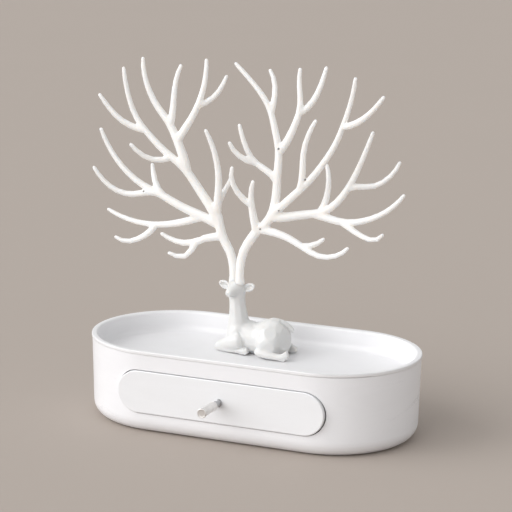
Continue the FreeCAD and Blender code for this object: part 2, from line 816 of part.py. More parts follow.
# The deer's own grid: +X along its back, +Y to its far side, +Z up from the tray's floor.
TORSO = (
    ((-32.3, 0, 15), 3, 4),
    ((-30, 0, 14), 6.6, 11),
    ((-22, 0, 13.5), 10.2, 14.6),
    ((-15, 0, 12), 11.4, 13.4),
    ((-7, 0, 11.6), 12, 12.3),
    ((0, 0, 13), 13.4, 14.4),
    ((6, 0, 14.2), 14, 15.4),
    ((11.5, 0, 14), 13.2, 14.8),
    ((16, 0, 13), 10.8, 12.4),
    ((18.8, 0, 12.4), 7.4, 9),
    ((20.4, 0, 12.2), 3, 3.8),
)
NECK = (
    ((-21.9, -0.5, 14), 9.4, 9.4),
    ((-22.6, -1.2, 27), 7.6, 7.8),
    ((-23.2, -2, 36), 6.5, 6.5),
    ((-23.8, -2, 44), 6.2, 6.2),
    ((-24.2, -2, 50), 6.2, 6),
)
POLL = (
    ((-24, -2, 42), 6.2, 5.8),
    ((-24.5, -2, 46), 7.4, 6.4),
    ((-24.5, -2, 50), 7.6, 6.6),
    ((-24.5, -2, 53), 7, 6),
    ((-24.5, -2, 54.8), 5.4, 4.4),
)
HEAD = (
    ((-24.3, 1, 50.9), 5, 5),
    ((-24.4, -1.5, 50.8), 7, 6.4),
    ((-24.7, -5.5, 50), 6.2, 5.6),
    ((-25, -9.5, 49), 4.5, 4.2),
    ((-25.2, -12.5, 48.1), 3.4, 3),
    ((-25.3, -14.2, 47.6), 2.1, 1.8),
)
# these two are repeated on the far side
HAUNCH = (
    ((6.4, -4, 13), 10.4, 12.3),
    ((6.2, -8.5, 13), 10.6, 12.5),
    ((6.2, -12.5, 12.4), 9.9, 11.6),
    ((6.2, -15.6, 11.5), 7.7, 9),
    ((6.2, -17.8, 10.8), 3.9, 4.7),
)
SHOULDER = (
    ((-22, -4, 14), 7.6, 10),
    ((-21.6, -8.5, 14), 7.2, 9.4),
    ((-21.4, -11.4, 13.4), 4.2, 5.8),
)
# points and radii; the legs are repeated on the far side
FOREARM = (
    ((-13.4, -8.6, 11), 2.2),
    ((-14.6, -8.6, 10.9), 4.8),
    ((-18, -8.6, 10.4), 7.2),
    ((-23.5, -8.2, 9), 6.9),
    ((-29, -7.7, 6.9), 5.3),
    ((-34.4, -7.2, 5.1), 3.9),
    ((-38.2, -7, 3.9), 3.1),
)
FORE_SHIN = (
    ((-39.9, -7, 3.4), 2.2),
    ((-37.2, -7.4, 3.2), 2.9),
    ((-28, -9.6, 2.6), 2.3),
    ((-18, -11, 2.8), 2.1),
    ((-13.2, -11.4, 3.4), 2.6),
    ((-10.4, -11.4, 3.9), 2.4),
)
HIND_SHIN = (
    ((-2.2, -14.4, 5.4), 2.4),
    ((1.2, -15.4, 4.8), 3.4),
    ((9, -16.4, 3.6), 2.9),
    ((17, -16, 2.9), 2.5),
    ((21, -15.4, 3.2), 2.9),
    ((24, -14.9, 4), 2.5),
    ((25.2, -14.7, 5), 1.3),
)
FAR_HIND_SHIN = (
    ((-4, 15, 4.5), 3.2),
    ((0, 16.5, 4.2), 3.9),
    ((8, 16, 3.3), 3),
    ((15, 13.5, 2.8), 2.6),
    ((19.5, 12, 3), 2.6),
    ((21.4, 11.5, 3.6), 1.6),
)
TAIL = (
    ((10, 0.4, 27.4), 1.3),
    ((13, 1.2, 26.9), 1.8),
    ((17.5, 3, 23.7), 2.1),
    ((20.3, 4, 20.5), 1.9),
    ((21.6, 4.4, 18.9), 1),
)
# base and tip of each ear, and its half width at shares of its length
EARS = (((-27.6, -2, 49.6), (-38.9, -2.5, 54.2)), ((-20.6, -2, 48.8), (-9.2, -2, 54.2)))
EAR_WIDTHS = ((0, 1.6), (0.2, 2.2), (0.45, 2.8), (0.7, 2.7), (0.88, 1.9), (1, 0.7))
EAR_THICKNESS = 1.2
ANTLER_ROOTS = {"antler_left": (-28.4, 0, 52.9), "antler_right": (-20.7, -4, 54.5)}


def mirrored(sections):
    return tuple(((x, -y, z), *rest) for (x, y, z), *rest in sections)


def square_ring(middle, along, radius, sides):
    """A round section square to a direction."""
    across = Vector(0, 1, 0) - along * along.y
    across.normalize()
    return ring(middle, across * radius, along.cross(across) * radius, sides)


def tube(stations):
    """A leg or tail through points with a radius at each."""
    grid = float(size("deer_grid"))
    path = [Vector(*point) * grid for point, radius in stations]
    rings = []
    for index, (point, radius) in enumerate(stations):
        along = path[min(index + 1, len(path) - 1)] - path[max(index - 1, 0)]
        along.normalize()
        rings.append(square_ring(path[index], along, radius * grid, FLESH_SIDES))
    return skin(rings)


def ear(base, tip):
    """A leaf with a hollow front."""
    start = Vector(*base)
    length = Vector(*tip) - start
    up = Vector(length).cross(Vector(0, 1, 0))
    up.normalize()
    back = Vector(0, 1, 0)
    leaf = [(tuple(start + length * t), wide, EAR_THICKNESS) for t, wide in EAR_WIDTHS]
    front = start - back * EAR_THICKNESS
    hollow = [
        (tuple(front + length * t), wide * 0.6, EAR_THICKNESS * 0.6)
        for t, wide in EAR_WIDTHS[1:5]
    ]
    return flesh(leaf, (up, back)).cut(flesh(hollow, (up, back)))


def antler_root(name):
    grid = size("deer_grid")
    x, y, z = ANTLER_ROOTS[name]
    return grid * x, size("deer_y") + grid * y, tray_floor + grid * z


def make_deer():
    grid = float(size("deer_grid"))
    head_line = Vector(*HEAD[-1][0]) - Vector(*HEAD[0][0])
    head_line.normalize()
    across_head = head_line.cross(Vector(0, 0, 1))
    across_head.normalize()
    solids = [
        flesh(TORSO, ACROSS_BODY),
        flesh(NECK, ACROSS_NECK),
        flesh(POLL, ACROSS_NECK),
        flesh(HEAD, (across_head, across_head.cross(head_line))),
        tube(TAIL),
    ]
    for side in (tuple, mirrored):
        solids += [flesh(side(form), ACROSS_SIDE) for form in (HAUNCH, SHOULDER)]
        solids += [tube(side(leg)) for leg in (FOREARM, FORE_SHIN)]
    solids += [tube(HIND_SHIN), tube(FAR_HIND_SHIN)]
    solids += [ear(base, tip) for base, tip in EARS]
    whole = merged(solids)

    reach = 100 * grid
    above_floor = Part.makeBox(2 * reach, 2 * reach, reach, Vector(-reach, -reach, 0))
    whole = whole.common(above_floor)
    cuts = []
    for alias in ("deer_screw_front", "deer_screw_back"):
        foot = Vector(float(size(alias)), 0, 0)
        depth = float(size("deer_screw_grip") + size("pilot_spare"))
        cuts.append(Part.makeCylinder(float(pilot_radius), depth, foot))
    gap = float(size("antler_peg_gap"))
    bore_depth = float(size("antler_peg_length")) + gap
    bore_radius = float(size("antler_peg_radius")) + gap
    seat_radius = float(size("burr_gauge")) / 2 * corner_reach(LIMB_SIDES) + gap
    for root in ANTLER_ROOTS.values():
        seat = Vector(*root) * grid
        cuts.append(Part.makeCylinder(bore_radius, bore_depth, seat, Vector(0, 0, -1)))
        cuts.append(Part.makeCylinder(seat_radius, bore_depth, seat))
    whole = whole.cut(cuts)
    deer = subpart("Part::Feature", "deer_body")
    deer.Shape = whole.Solids[0]
    place(deer, y=size("deer_y"), z=tray_floor)


# Each limb: its name, the limb it grows from, where along that limb, its gauge, and the
# points it passes, counted from its own root.
LEFT_PLAN = (
    ("stem", None, 0, "stem", ((0, 0, 15), (-3, 0, 26), (-9, 0, 36), (-12, 0, 46), (-15, 0, 58))),
    ("far beam", "stem", 0.79, "beam", (
        (-15, 0, 6), (-32, -1, 12), (-49, -2, 20), (-64, -2, 26),
        (-84, -3, 41), (-95, -3, 55), (-102, -4, 70))),
    ("far tine", "far beam", 0.44, "tine", (
        (-10, -2, 0), (-20, -3, -2), (-35, -6, 1), (-44, -8, 8), (-52, -10, 19))),
    ("far spur", "far beam", 0.4, "tine", ((-7, 2, 7), (-11, 5, 15), (-14, 8, 24))),
    ("low bough", "far beam", 0.12, "bough", (
        (-17, 2, -6), (-32, 5, -10), (-48, 7, -12), (-66, 9, -11), (-90, 12, -4))),
    ("low tine", "low bough", 0.49, "tine", (
        (-5, -1, -6), (-12, -1, -11), (-21, -2, -15), (-35, -4, -12))),
    ("high beam", "stem", 0.84, "beam", (
        (-8, -1, 13), (-18, -1, 26), (-29, -2, 40), (-45, -3, 52),
        (-57, -4, 63), (-68, -4, 75), (-77, -5, 97), (-80, -6, 117))),
    ("high tine", "high beam", 0.63, "tine", ((-8, -1, 2), (-20, -4, 8), (-29, -6, 17), (-37, -8, 28))),
    ("high spur", "high beam", 0.43, "twig", ((-6, -3, -2), (-16, -8, -1), (-23, -12, 4), (-29, -15, 11))),
    ("tall beam", "high beam", 0.31, "beam", (
        (-4, 0, 12), (-9, 0, 24), (-17, 1, 38), (-27, 1, 50), (-35, 1, 64), (-40, 2, 88))),
    ("tall tine", "tall beam", 0.4, "tine", ((1, 2, 12), (1, 5, 28), (5, 9, 47))),
    ("tall bough", "tall beam", 0.26, "bough", (
        (3, 1, 6), (9, 3, 16), (15, 4, 28), (19, 6, 42), (20, 9, 65))),
    ("tall spur", "tall bough", 0.46, "twig", ((6, 3, 3), (13, 6, 9), (17, 10, 17), (19, 13, 24))),
    ("front bough", "stem", 0.97, "bough", ((2, -2, 14), (3, -4, 30), (0, -7, 50), (-6, -10, 66))),
    ("front spur", "front bough", 0.06, "twig", ((2, 4, 8), (5, 7, 15), (7, 11, 23))),
    ("hung bough", "stem", 0.65, "bough", (
        (-11, -2, -2), (-21, -5, -7), (-26, -7, -16), (-34, -8, -18), (-42, -10, -15))),
    ("hung tine", "hung bough", 0.36, "tine", ((-9, -1, -3), (-18, -1, -3), (-33, -2, 3))),
)
RIGHT_PLAN = (
    ("stem", None, 0, "stem", ((0, 0, 14), (3, 0, 27), (9, 0, 37), (14, 0, 44), (18, 0, 49))),
    ("inner bough", "stem", 0.87, "bough", ((-2, -3, 13), (-3, -5, 25), (0, -8, 41))),
    ("inner spur", "inner bough", 0.5, "twig", ((-6, -2, 5), (-11, -5, 12), (-12, -10, 31))),
    ("tall beam", "stem", 0.91, "beam", (
        (10, 0, 10), (14, 1, 28), (15, 1, 47), (15, 2, 63),
        (12, 2, 77), (7, 3, 93), (-5, 3, 110), (-23, 4, 127))),
    ("tall spur", "tall beam", 0.66, "twig", ((1, 3, 12), (0, 6, 21), (-6, 9, 33))),
    ("tall bough", "tall beam", 0.45, "bough", (
        (6, 1, 9), (12, 2, 22), (16, 2, 35), (15, 3, 51), (15, 4, 66))),
    ("tall tine", "tall bough", 0.5, "tine", ((8, 3, 7), (14, 6, 19), (18, 10, 36))),
    ("back tine", "tall beam", 0.3, "tine", ((-7, -1, 7), (-18, -2, 14), (-25, -4, 26), (-30, -5, 43))),
    ("back spur", "back tine", 0.39, "twig", ((-8, -4, 3), (-14, -7, 8), (-18, -11, 17))),
    ("high bough", "tall beam", 0.1, "bough", (
        (11, -2, 11), (23, -4, 22), (35, -5, 34), (47, -8, 49),
        (56, -10, 63), (63, -12, 79), (69, -14, 96), (73, -16, 115))),
    ("high tine", "high bough", 0.71, "tine", ((11, -3, 4), (24, -8, 13), (37, -13, 27.5))),
    ("steep tine", "high bough", 0.25, "tine", ((3, -2, 14), (4, -3, 30), (8, -4.5, 43), (15, -6, 56))),
    ("far beam", "tall beam", 0.1, "beam", (
        (11, 1, 1), (27, 3, 4), (43, 4, 8), (56, 6, 20), (66, 8, 38), (73, 10, 56), (78, 12, 71))),
    ("far spur", "far beam", 0.59, "twig", ((8, 2, 2), (18, 5, 2.5), (28, 8, 8), (37, 13, 22))),
    ("far bough", "far beam", 0.29, "bough", (
        (11, 0, -2), (25, -1, -4), (43, -1, -1), (59, -1, 7), (74, -2, 22))),
    ("hung spur", "far bough", 0.29, "twig", ((8, -2, -4), (17, -4, -8), (28, -7, -10), (37, -9, -4))),
    ("rear tine", "far beam", 0.34, "tine", ((3, 5, 11), (3, 9, 21), (-2, 16, 35))),
    ("low bough", "stem", 0.91, "bough", (
        (12, -1, -1), (26, -3, -4), (40, -5, -10), (55, -7, -15), (67, -8, -13), (78, -10, -5))),
    ("low spur", "low bough", 0.47, "twig", ((8, 2, 1), (17, 5, 7))),
)


class Limb:
    """A round limb that thins along a smooth curve."""

    def __init__(self, path, start, root, tip, seated):
        self.curve = Part.BSplineCurve()
        self.curve.interpolate(path)
        self.length = self.curve.length()
        self.pitch = float(size("limb_pitch"))
        self.start = start
        self.root = root
        self.tip = tip
        self.seated = seated

    def parameter(self, share):
        return self.curve.parameterAtDistance(self.length * share, self.curve.FirstParameter)

    def middle(self, share):
        return self.curve.value(self.parameter(share))

    def radius(self, share):
        """Thins fast over the first pitch, out of the parent, and evenly from there to the tip."""
        collar = self.pitch / self.length
        if share < collar:
            return self.start + (self.root - self.start) * share / collar
        return self.root + (self.tip - self.root) * (share - collar) / (1 - collar)

    def solid(self):
        steps = max(2, round(self.length / self.pitch))
        stations = [(step / steps, 1) for step in range(steps)]
        stations += [(1 - 0.6 * self.tip / self.length, 0.85), (1, 0.4)]
        rings = []
        for share, factor in stations:
            along = self.curve.tangent(self.parameter(share))[0]
            if self.seated and share == 0:
                along = Vector(0, 0, 1)
            radius = self.radius(share) * factor
            rings.append(square_ring(self.middle(share), along, radius, LIMB_SIDES))
        return skin(rings)


def make_antler(name, plan):
    grid = float(size("antler_grid"))
    tip = float(size("tip_gauge")) / 2
    limbs = {}
    for limb, parent, share, gauge, offsets in plan:
        radius = float(size(gauge + "_gauge")) / 2
        if parent:
            foot = limbs[parent].middle(share)
            start = 0.95 * limbs[parent].radius(share)
            end = tip
        else:
            foot = Vector(0, 0, 0)
            start = float(size("burr_gauge")) / 2
            end = float(size("beam_gauge")) / 2
        path = [foot] + [foot + Vector(*offset) * grid for offset in offsets]
        limbs[limb] = Limb(path, start, radius, end, seated=not parent)
    peg_length = float(size("antler_peg_length"))
    peg = Part.makeCylinder(float(size("antler_peg_radius")), peg_length, Vector(0, 0, -peg_length))
    antler = subpart("Part::Feature", name)
    antler.Shape = merged([limb.solid() for limb in limbs.values()] + [peg])
    x, y, z = antler_root(name)
    place(antler, x=x, y=y, z=z)


make_housing()
make_tray()
make_drawer_front()
make_drawer_box()
make_knob()
make_guide("guide_left", -1)
make_guide("guide_right", 1)
make_stop()
make_fittings()
make_deer()
make_antler("antler_left", LEFT_PLAN)
make_antler("antler_right", RIGHT_PLAN)
doc.recompute()

for thing in doc.Objects:
    if "Invalid" in thing.State or "Error" in thing.State:
        raise RuntimeError(f"{thing.Name} failed: {thing.State}")
for thing in subparts:
    if thing.Shape.isNull() or not thing.Shape.isValid():
        raise RuntimeError(f"{thing.Label} has no valid shape")

os.makedirs("parts", exist_ok=True)
for thing in subparts:
    thing.Shape.exportStep(f"parts/{thing.Label}.step")
    box = thing.Shape.BoundBox
    print(thing.Label, len(thing.Shape.Solids), "solids", round(thing.Shape.Volume), "mm3", box)
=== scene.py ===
from functools import reduce
import math

import bmesh
import bpy
import numpy as np
from mathutils import Matrix, Vector
from mathutils.bvhtree import BVHTree


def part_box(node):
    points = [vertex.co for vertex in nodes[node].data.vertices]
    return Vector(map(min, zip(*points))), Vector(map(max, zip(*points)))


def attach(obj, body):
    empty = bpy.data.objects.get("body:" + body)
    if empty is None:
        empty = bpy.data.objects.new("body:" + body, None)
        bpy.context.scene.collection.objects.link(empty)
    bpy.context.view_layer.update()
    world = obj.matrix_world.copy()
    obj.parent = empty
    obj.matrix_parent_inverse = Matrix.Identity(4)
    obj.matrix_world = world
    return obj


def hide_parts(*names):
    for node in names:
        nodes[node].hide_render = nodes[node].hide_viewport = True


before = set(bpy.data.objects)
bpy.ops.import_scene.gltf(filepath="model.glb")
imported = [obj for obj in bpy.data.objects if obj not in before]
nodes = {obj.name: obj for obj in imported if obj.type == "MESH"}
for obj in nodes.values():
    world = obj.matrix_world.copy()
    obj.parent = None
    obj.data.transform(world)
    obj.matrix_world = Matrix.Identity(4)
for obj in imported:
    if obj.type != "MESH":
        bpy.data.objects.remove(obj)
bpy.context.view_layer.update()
scene = bpy.context.scene
MM = 0.001


# Camera and lamps

def sight(azimuth, elevation):
    """The way from the stand to an eye at this bearing and height, as a unit vector."""
    a, e = math.radians(azimuth), math.radians(elevation)
    return Vector((math.sin(a) * math.cos(e), -math.cos(a) * math.cos(e), math.sin(e)))


def make_camera(azimuth=23.17, elevation=12.04, away=1577.57 * MM, target=(0, 0, 150 * MM), lean=0.75,
                film=36, focus=2071.14 / 512, rise=-23.57 / 512):
    """A camera that faces the target and leans by some degrees. Its focus and rise are shares of the film."""
    back = sight(azimuth, elevation)
    across = Vector((math.cos(math.radians(azimuth)), math.sin(math.radians(azimuth)), 0))
    up = back.cross(across)
    r = math.radians(lean)
    across, up = math.cos(r) * across + math.sin(r) * up, math.cos(r) * up - math.sin(r) * across
    lens = bpy.data.cameras.new("stand_camera")
    lens.sensor_width, lens.lens, lens.shift_y = film, film * focus, rise
    lens.clip_start, lens.clip_end = 0.05, 100
    made = bpy.data.objects.new("stand_camera", lens)
    turned = Matrix((across, up, back)).transposed().to_4x4()
    made.matrix_world = Matrix.Translation(Vector(target) + back * away) @ turned
    scene.collection.objects.link(made)
    scene.camera = made


def hang(lamp, azimuth, elevation, place=(0, 0, 0)):
    """Puts a lamp at its place, so that it shines from this bearing and height."""
    made = bpy.data.objects.new(lamp.name, lamp)
    made.location = place
    made.rotation_euler = sight(azimuth, elevation).to_track_quat("Z", "Y").to_euler()
    scene.collection.objects.link(made)
    return made


def make_sun(name, azimuth, elevation, strength, spread):
    lamp = bpy.data.lights.new(name, "SUN")
    lamp.energy, lamp.angle = strength, math.radians(spread)
    hang(lamp, azimuth, elevation)


def make_softbox(name, azimuth, elevation, away, width, height, power, aim=100 * MM):
    """A broad lamp that only shows as a soft shine on glossy faces. It points at a height on the axis."""
    lamp = bpy.data.lights.new(name, "AREA")
    lamp.shape, lamp.size, lamp.size_y, lamp.energy = "RECTANGLE", width, height, power
    place = sight(azimuth, elevation) * away + Vector((0, 0, aim))
    hang(lamp, azimuth, elevation, place).visible_diffuse = False


# Node trees

def feed(tree, value, socket):
    """Gives a socket its value, which is another socket or a plain value."""
    if isinstance(value, bpy.types.NodeSocket):
        tree.links.new(value, socket)
    else:
        socket.default_value = value


def add_node(tree, kind, **values):
    """A node with its own settings by attribute name, and its inputs by socket name or place."""
    made = tree.nodes.new(kind)
    inputs = values.pop("inputs", {})
    for name, value in values.items():
        setattr(made, name, value)
    for name, value in inputs.items():
        feed(tree, value, made.inputs[name])
    return made


def maths(tree, operation, *values):
    return add_node(tree, "ShaderNodeMath", operation=operation, inputs=dict(enumerate(values))).outputs[0]


def product(tree, *values):
    return reduce(lambda one, two: maths(tree, "MULTIPLY", one, two), values)


def total(tree, *values):
    return reduce(lambda one, two: maths(tree, "ADD", one, two), values)


def spread_out(tree):
    """Lays the nodes out in columns, in the order in which they were made."""
    for i, node in enumerate(tree.nodes):
        node.location = (220 * (i // 4), -230 * (i % 4))


SOCKETS = {"value": "NodeSocketFloat", "vector": "NodeSocketVector", "geometry": "NodeSocketGeometry",
           "material": "NodeSocketMaterial"}


def new_group(name, kind, inputs, outputs):
    """A node group, with the sockets that it is given and those that it puts out. Inputs are (name, kind of
    socket, value)."""
    tree = bpy.data.node_groups.new(name, kind)
    for label, socket, value in inputs:
        made = tree.interface.new_socket(label, in_out="INPUT", socket_type=SOCKETS[socket])
        if value is not None:
            made.default_value = value
    for label, socket in outputs:
        tree.interface.new_socket(label, in_out="OUTPUT", socket_type=SOCKETS[socket])
    return tree, tree.nodes.new("NodeGroupInput").outputs, tree.nodes.new("NodeGroupOutput").inputs


def noise(tree, vector, scale, detail, roughness, distortion=0.0):
    return add_node(tree, "ShaderNodeTexNoise", inputs={
        "Vector": vector, "Scale": scale, "Detail": detail, "Roughness": roughness,
        "Distortion": distortion}).outputs["Fac"]


def ranged(tree, value, low, high, to_low, to_high, smooth=False):
    """A value carried from one range to another and held at its ends."""
    kind = "SMOOTHSTEP" if smooth else "LINEAR"
    made = add_node(tree, "ShaderNodeMapRange", interpolation_type=kind, inputs={
        "Value": value, "From Min": low, "From Max": high, "To Min": to_low, "To Max": to_high})
    return made.outputs["Result"]


# Effects that the finishes share

def make_moulded_skin():
    """Moulded plastic: a fine grain, slow waves where the wall sank, and flow of the melt."""
    tree, given, out = new_group(
        "moulded_skin", "ShaderNodeTree",
        [("Vector", "vector", None), ("Grain Scale", "value", 1800.0), ("Grain Depth", "value", 0.5),
         ("Sink Scale", "value", 45.0), ("Sink Depth", "value", 0.5),
         ("Gloss Low", "value", 0.25), ("Gloss High", "value", 0.35)],
        [("Height", "value"), ("Roughness", "value"), ("Flow", "value")])
    place = given["Vector"]
    grain = noise(tree, place, given["Grain Scale"], 4.0, 0.6)
    sink = noise(tree, place, given["Sink Scale"], 1.0, 0.4)
    stretched = add_node(tree, "ShaderNodeMapping", inputs={"Vector": place, "Scale": (14.0, 14.0, 60.0)})
    flow = noise(tree, stretched.outputs["Vector"], 1.0, 5.0, 0.65, 1.2)
    height = total(tree, product(tree, grain, given["Grain Depth"]), product(tree, sink, given["Sink Depth"]))
    mixed = total(tree, product(tree, flow, 0.6), product(tree, grain, 0.4))
    gloss = ranged(tree, mixed, 0.35, 0.65, given["Gloss Low"], given["Gloss High"])
    feed(tree, height, out["Height"])
    feed(tree, gloss, out["Roughness"])
    feed(tree, ranged(tree, flow, 0.3, 0.7, 0.0, 1.0, True), out["Flow"])
    spread_out(tree)
    return tree


def make_softened_edges():
    """Outer edges rounded by the mould, as a normal, and a mask of where they are."""
    tree, given, out = new_group(
        "softened_edges", "ShaderNodeTree", [("Reach", "value", 0.5 * MM)],
        [("Edge", "value"), ("Normal", "vector")])
    bevel = add_node(tree, "ShaderNodeBevel", samples=4, inputs={"Radius": given["Reach"]})
    flat = add_node(tree, "ShaderNodeNewGeometry")
    turn = add_node(tree, "ShaderNodeVectorMath", operation="DOT_PRODUCT",
                    inputs={0: bevel.outputs["Normal"], 1: flat.outputs["Normal"]})
    feed(tree, ranged(tree, turn.outputs["Value"], 0.75, 0.99, 1.0, 0.0), out["Edge"])
    feed(tree, bevel.outputs["Normal"], out["Normal"])
    spread_out(tree)
    return tree


def make_settled_dust():
    """Dust that gathers on faces turned upwards, in soft patches with specks."""
    tree, given, out = new_group(
        "settled_dust", "ShaderNodeTree",
        [("Vector", "vector", None), ("Amount", "value", 0.1), ("Patch Scale", "value", 30.0)],
        [("Dust", "value")])
    facing = add_node(tree, "ShaderNodeNewGeometry")
    split = add_node(tree, "ShaderNodeSeparateXYZ", inputs={0: facing.outputs["Normal"]})
    upward = ranged(tree, split.outputs["Z"], 0.2, 0.95, 0.0, 1.0, True)
    patch = noise(tree, given["Vector"], given["Patch Scale"], 5.0, 0.6)
    specks = add_node(tree, "ShaderNodeTexVoronoi", inputs={"Vector": given["Vector"], "Scale": 900.0})
    dots = ranged(tree, specks.outputs["Distance"], 0.05, 0.14, 1.0, 0.0)
    cloud = total(tree, ranged(tree, patch, 0.42, 0.72, 0.0, 1.0, True), product(tree, dots, 0.35))
    feed(tree, product(tree, cloud, upward, given["Amount"]), out["Dust"])
    spread_out(tree)
    return tree


def make_wiping_marks():
    """Hair-fine rub marks that wiping leaves, in two crossing ways."""
    tree, given, out = new_group(
        "wiping_marks", "ShaderNodeTree", [("Vector", "vector", None), ("Density", "value", 1.0)],
        [("Marks", "value")])
    marks = None
    for turn in (0.5, -0.9):
        laid = add_node(tree, "ShaderNodeMapping", inputs={
            "Vector": given["Vector"], "Rotation": (0.3, 0.2, turn), "Scale": (22.0, 900.0, 900.0)})
        lines = noise(tree, laid.outputs["Vector"], 1.0, 2.0, 0.5)
        thin = ranged(tree, lines, 0.62, 0.72, 0.0, 1.0)
        marks = thin if marks is None else maths(tree, "MAXIMUM", marks, thin)
    patch = noise(tree, given["Vector"], 20.0, 2.0, 0.5)
    worn = product(tree, marks, ranged(tree, patch, 0.4, 0.65, 0.0, 1.0, True))
    feed(tree, product(tree, worn, given["Density"]), out["Marks"])
    spread_out(tree)
    return tree


moulded_skin = make_moulded_skin()
softened_edges = make_softened_edges()
settled_dust = make_settled_dust()
wiping_marks = make_wiping_marks()


# Finishes

def blank_finish(name):
    """An empty finish: the material, its tree, its surface's sockets and the place on the piece."""
    made = bpy.data.materials.new(name)
    made.use_nodes = True
    tree = made.node_tree
    tree.nodes.clear()
    surface = tree.nodes.new("ShaderNodeBsdfPrincipled")
    out = tree.nodes.new("ShaderNodeOutputMaterial")
    feed(tree, surface.outputs["BSDF"], out.inputs["Surface"])
    where = tree.nodes.new("ShaderNodeTexCoord").outputs["Object"]
    return made, tree, surface.inputs, where


def group_node(tree, group, **inputs):
    made = tree.nodes.new("ShaderNodeGroup")
    made.node_tree = group
    for name, value in inputs.items():
        feed(tree, value, made.inputs[name.replace("_", " ")])
    return made.outputs


def emboss(tree, surface, height, depth, **normal):
    """Raises a surface by a pattern of heights, over the Normal that it is given."""
    relief = add_node(tree, "ShaderNodeBump", inputs={
        "Strength": 1.0, "Distance": depth, "Height": height, **normal})
    feed(tree, relief.outputs["Normal"], surface["Normal"])


def tinted(tree, share, plain, other):
    """A mix of two colours, by a share that changes over the surface."""
    plain, other = (c if isinstance(c, bpy.types.NodeSocket) else (*c, 1.0) for c in (plain, other))
    # a mix node's colours are its inputs 6 and 7, and its output 2
    return add_node(tree, "ShaderNodeMix", data_type="RGBA", inputs={0: share, 6: plain, 7: other}).outputs[2]


def moulded_plastic(name, colour, shade, dull, gloss, dust=0.1, grain=0.4, sink=0.6, edge=0.5 * MM, rub=0.5,
                    relief=0.05 * MM, depth=0.0, pit_shade=None):
    """Moulded plastic: a colour with a slightly different flow of the melt, its gloss, grain, edges, dust and
    rubs. Depth is how far light goes into it, which shows on thin branches. The last argument names the
    values on the skin where shade is painted into the colour, darker inside a mark."""
    made, tree, surface, where = blank_finish(name)
    skin = group_node(tree, moulded_skin, Vector=where, Grain_Depth=grain, Sink_Depth=sink,
                      Gloss_Low=gloss[0], Gloss_High=gloss[1])
    edges = group_node(tree, softened_edges, Reach=edge)
    dusty = group_node(tree, settled_dust, Vector=where, Amount=dust)["Dust"]
    rubbed = group_node(tree, wiping_marks, Vector=where, Density=rub)["Marks"]
    body = tinted(tree, skin["Flow"], colour, shade)
    pale = tuple(min(1, c * 1.04) for c in colour)
    worn = tinted(tree, product(tree, edges["Edge"], 0.25), body, pale)
    toned = tinted(tree, dusty, worn, dull)
    # painted shade: inside a gate mark the colour darkens to 0.45 of the shade colour, as shade in the pit
    if pit_shade:
        inside = add_node(tree, "ShaderNodeAttribute", attribute_name=pit_shade)
        toned = tinted(tree, inside.outputs["Fac"], toned, tuple(c * 0.45 for c in shade))
    feed(tree, toned, surface["Base Color"])
    rough = total(tree, skin["Roughness"], product(tree, dusty, 0.5))
    feed(tree, total(tree, rough, product(tree, rubbed, 0.12)), surface["Roughness"])
    emboss(tree, surface, skin["Height"], relief, Normal=edges["Normal"])
    feed(tree, 1.5, surface["IOR"])
    if depth:
        feed(tree, 1.0, surface["Subsurface Weight"])
        feed(tree, (1.0, 0.94, 0.88), surface["Subsurface Radius"])
        feed(tree, depth, surface["Subsurface Scale"])
    spread_out(tree)
    return made


def rubbed_metal(tree, surface, where, haze, colour, gloss, edge, rub, rub_gloss):
    """Gives a metal its colour, a gloss that follows a haze, and rub marks. Its soft edges come back."""
    rubbed = group_node(tree, wiping_marks, Vector=where, Density=rub)["Marks"]
    rough = total(tree, ranged(tree, haze, 0.3, 0.7, *gloss), product(tree, rubbed, rub_gloss))
    for name, value in (("Base Color", colour), ("Roughness", rough), ("Metallic", 1.0)):
        feed(tree, value, surface[name])
    return group_node(tree, softened_edges, Reach=edge)["Normal"]


def turned_metal(name, colour, dark, gloss, pitch, depth):
    """Metal turned on a lathe: fine rings across its axis, which is Y, with a faint haze."""
    made, tree, surface, where = blank_finish(name)
    split = add_node(tree, "ShaderNodeSeparateXYZ", inputs={0: where})
    along = product(tree, split.outputs["Y"], 1 / pitch)
    wobble = noise(tree, where, 300.0, 2.0, 0.5)
    rings = maths(tree, "SINE", product(tree, total(tree, along, wobble), 2 * math.pi))
    haze = noise(tree, where, 260.0, 5.0, 0.6)
    mixed = tinted(tree, ranged(tree, haze, 0.35, 0.7, 0.0, 1.0, True), colour, dark)
    edges = rubbed_metal(tree, surface, where, haze, mixed, gloss, 0.2 * MM, 0.8, 0.1)
    emboss(tree, surface, rings, depth, Normal=edges)
    spread_out(tree)
    return made


def plated_steel(name, colour, dark, gloss):
    """Zinc-plated steel: a fine crystal pattern in the plating and rubs from the driver."""
    made, tree, surface, where = blank_finish(name)
    crystal = add_node(tree, "ShaderNodeTexVoronoi", inputs={"Vector": where, "Scale": 2600.0})
    haze = noise(tree, where, 500.0, 4.0, 0.6)
    tone = product(tree, crystal.outputs["Distance"], haze)
    mixed = tinted(tree, ranged(tree, tone, 0.1, 0.4, 0.0, 1.0), colour, dark)
    edges = rubbed_metal(tree, surface, where, haze, mixed, gloss, 0.15 * MM, 1.0, 0.12)
    emboss(tree, surface, tone, 0.01 * MM, Normal=edges)
    spread_out(tree)
    return made


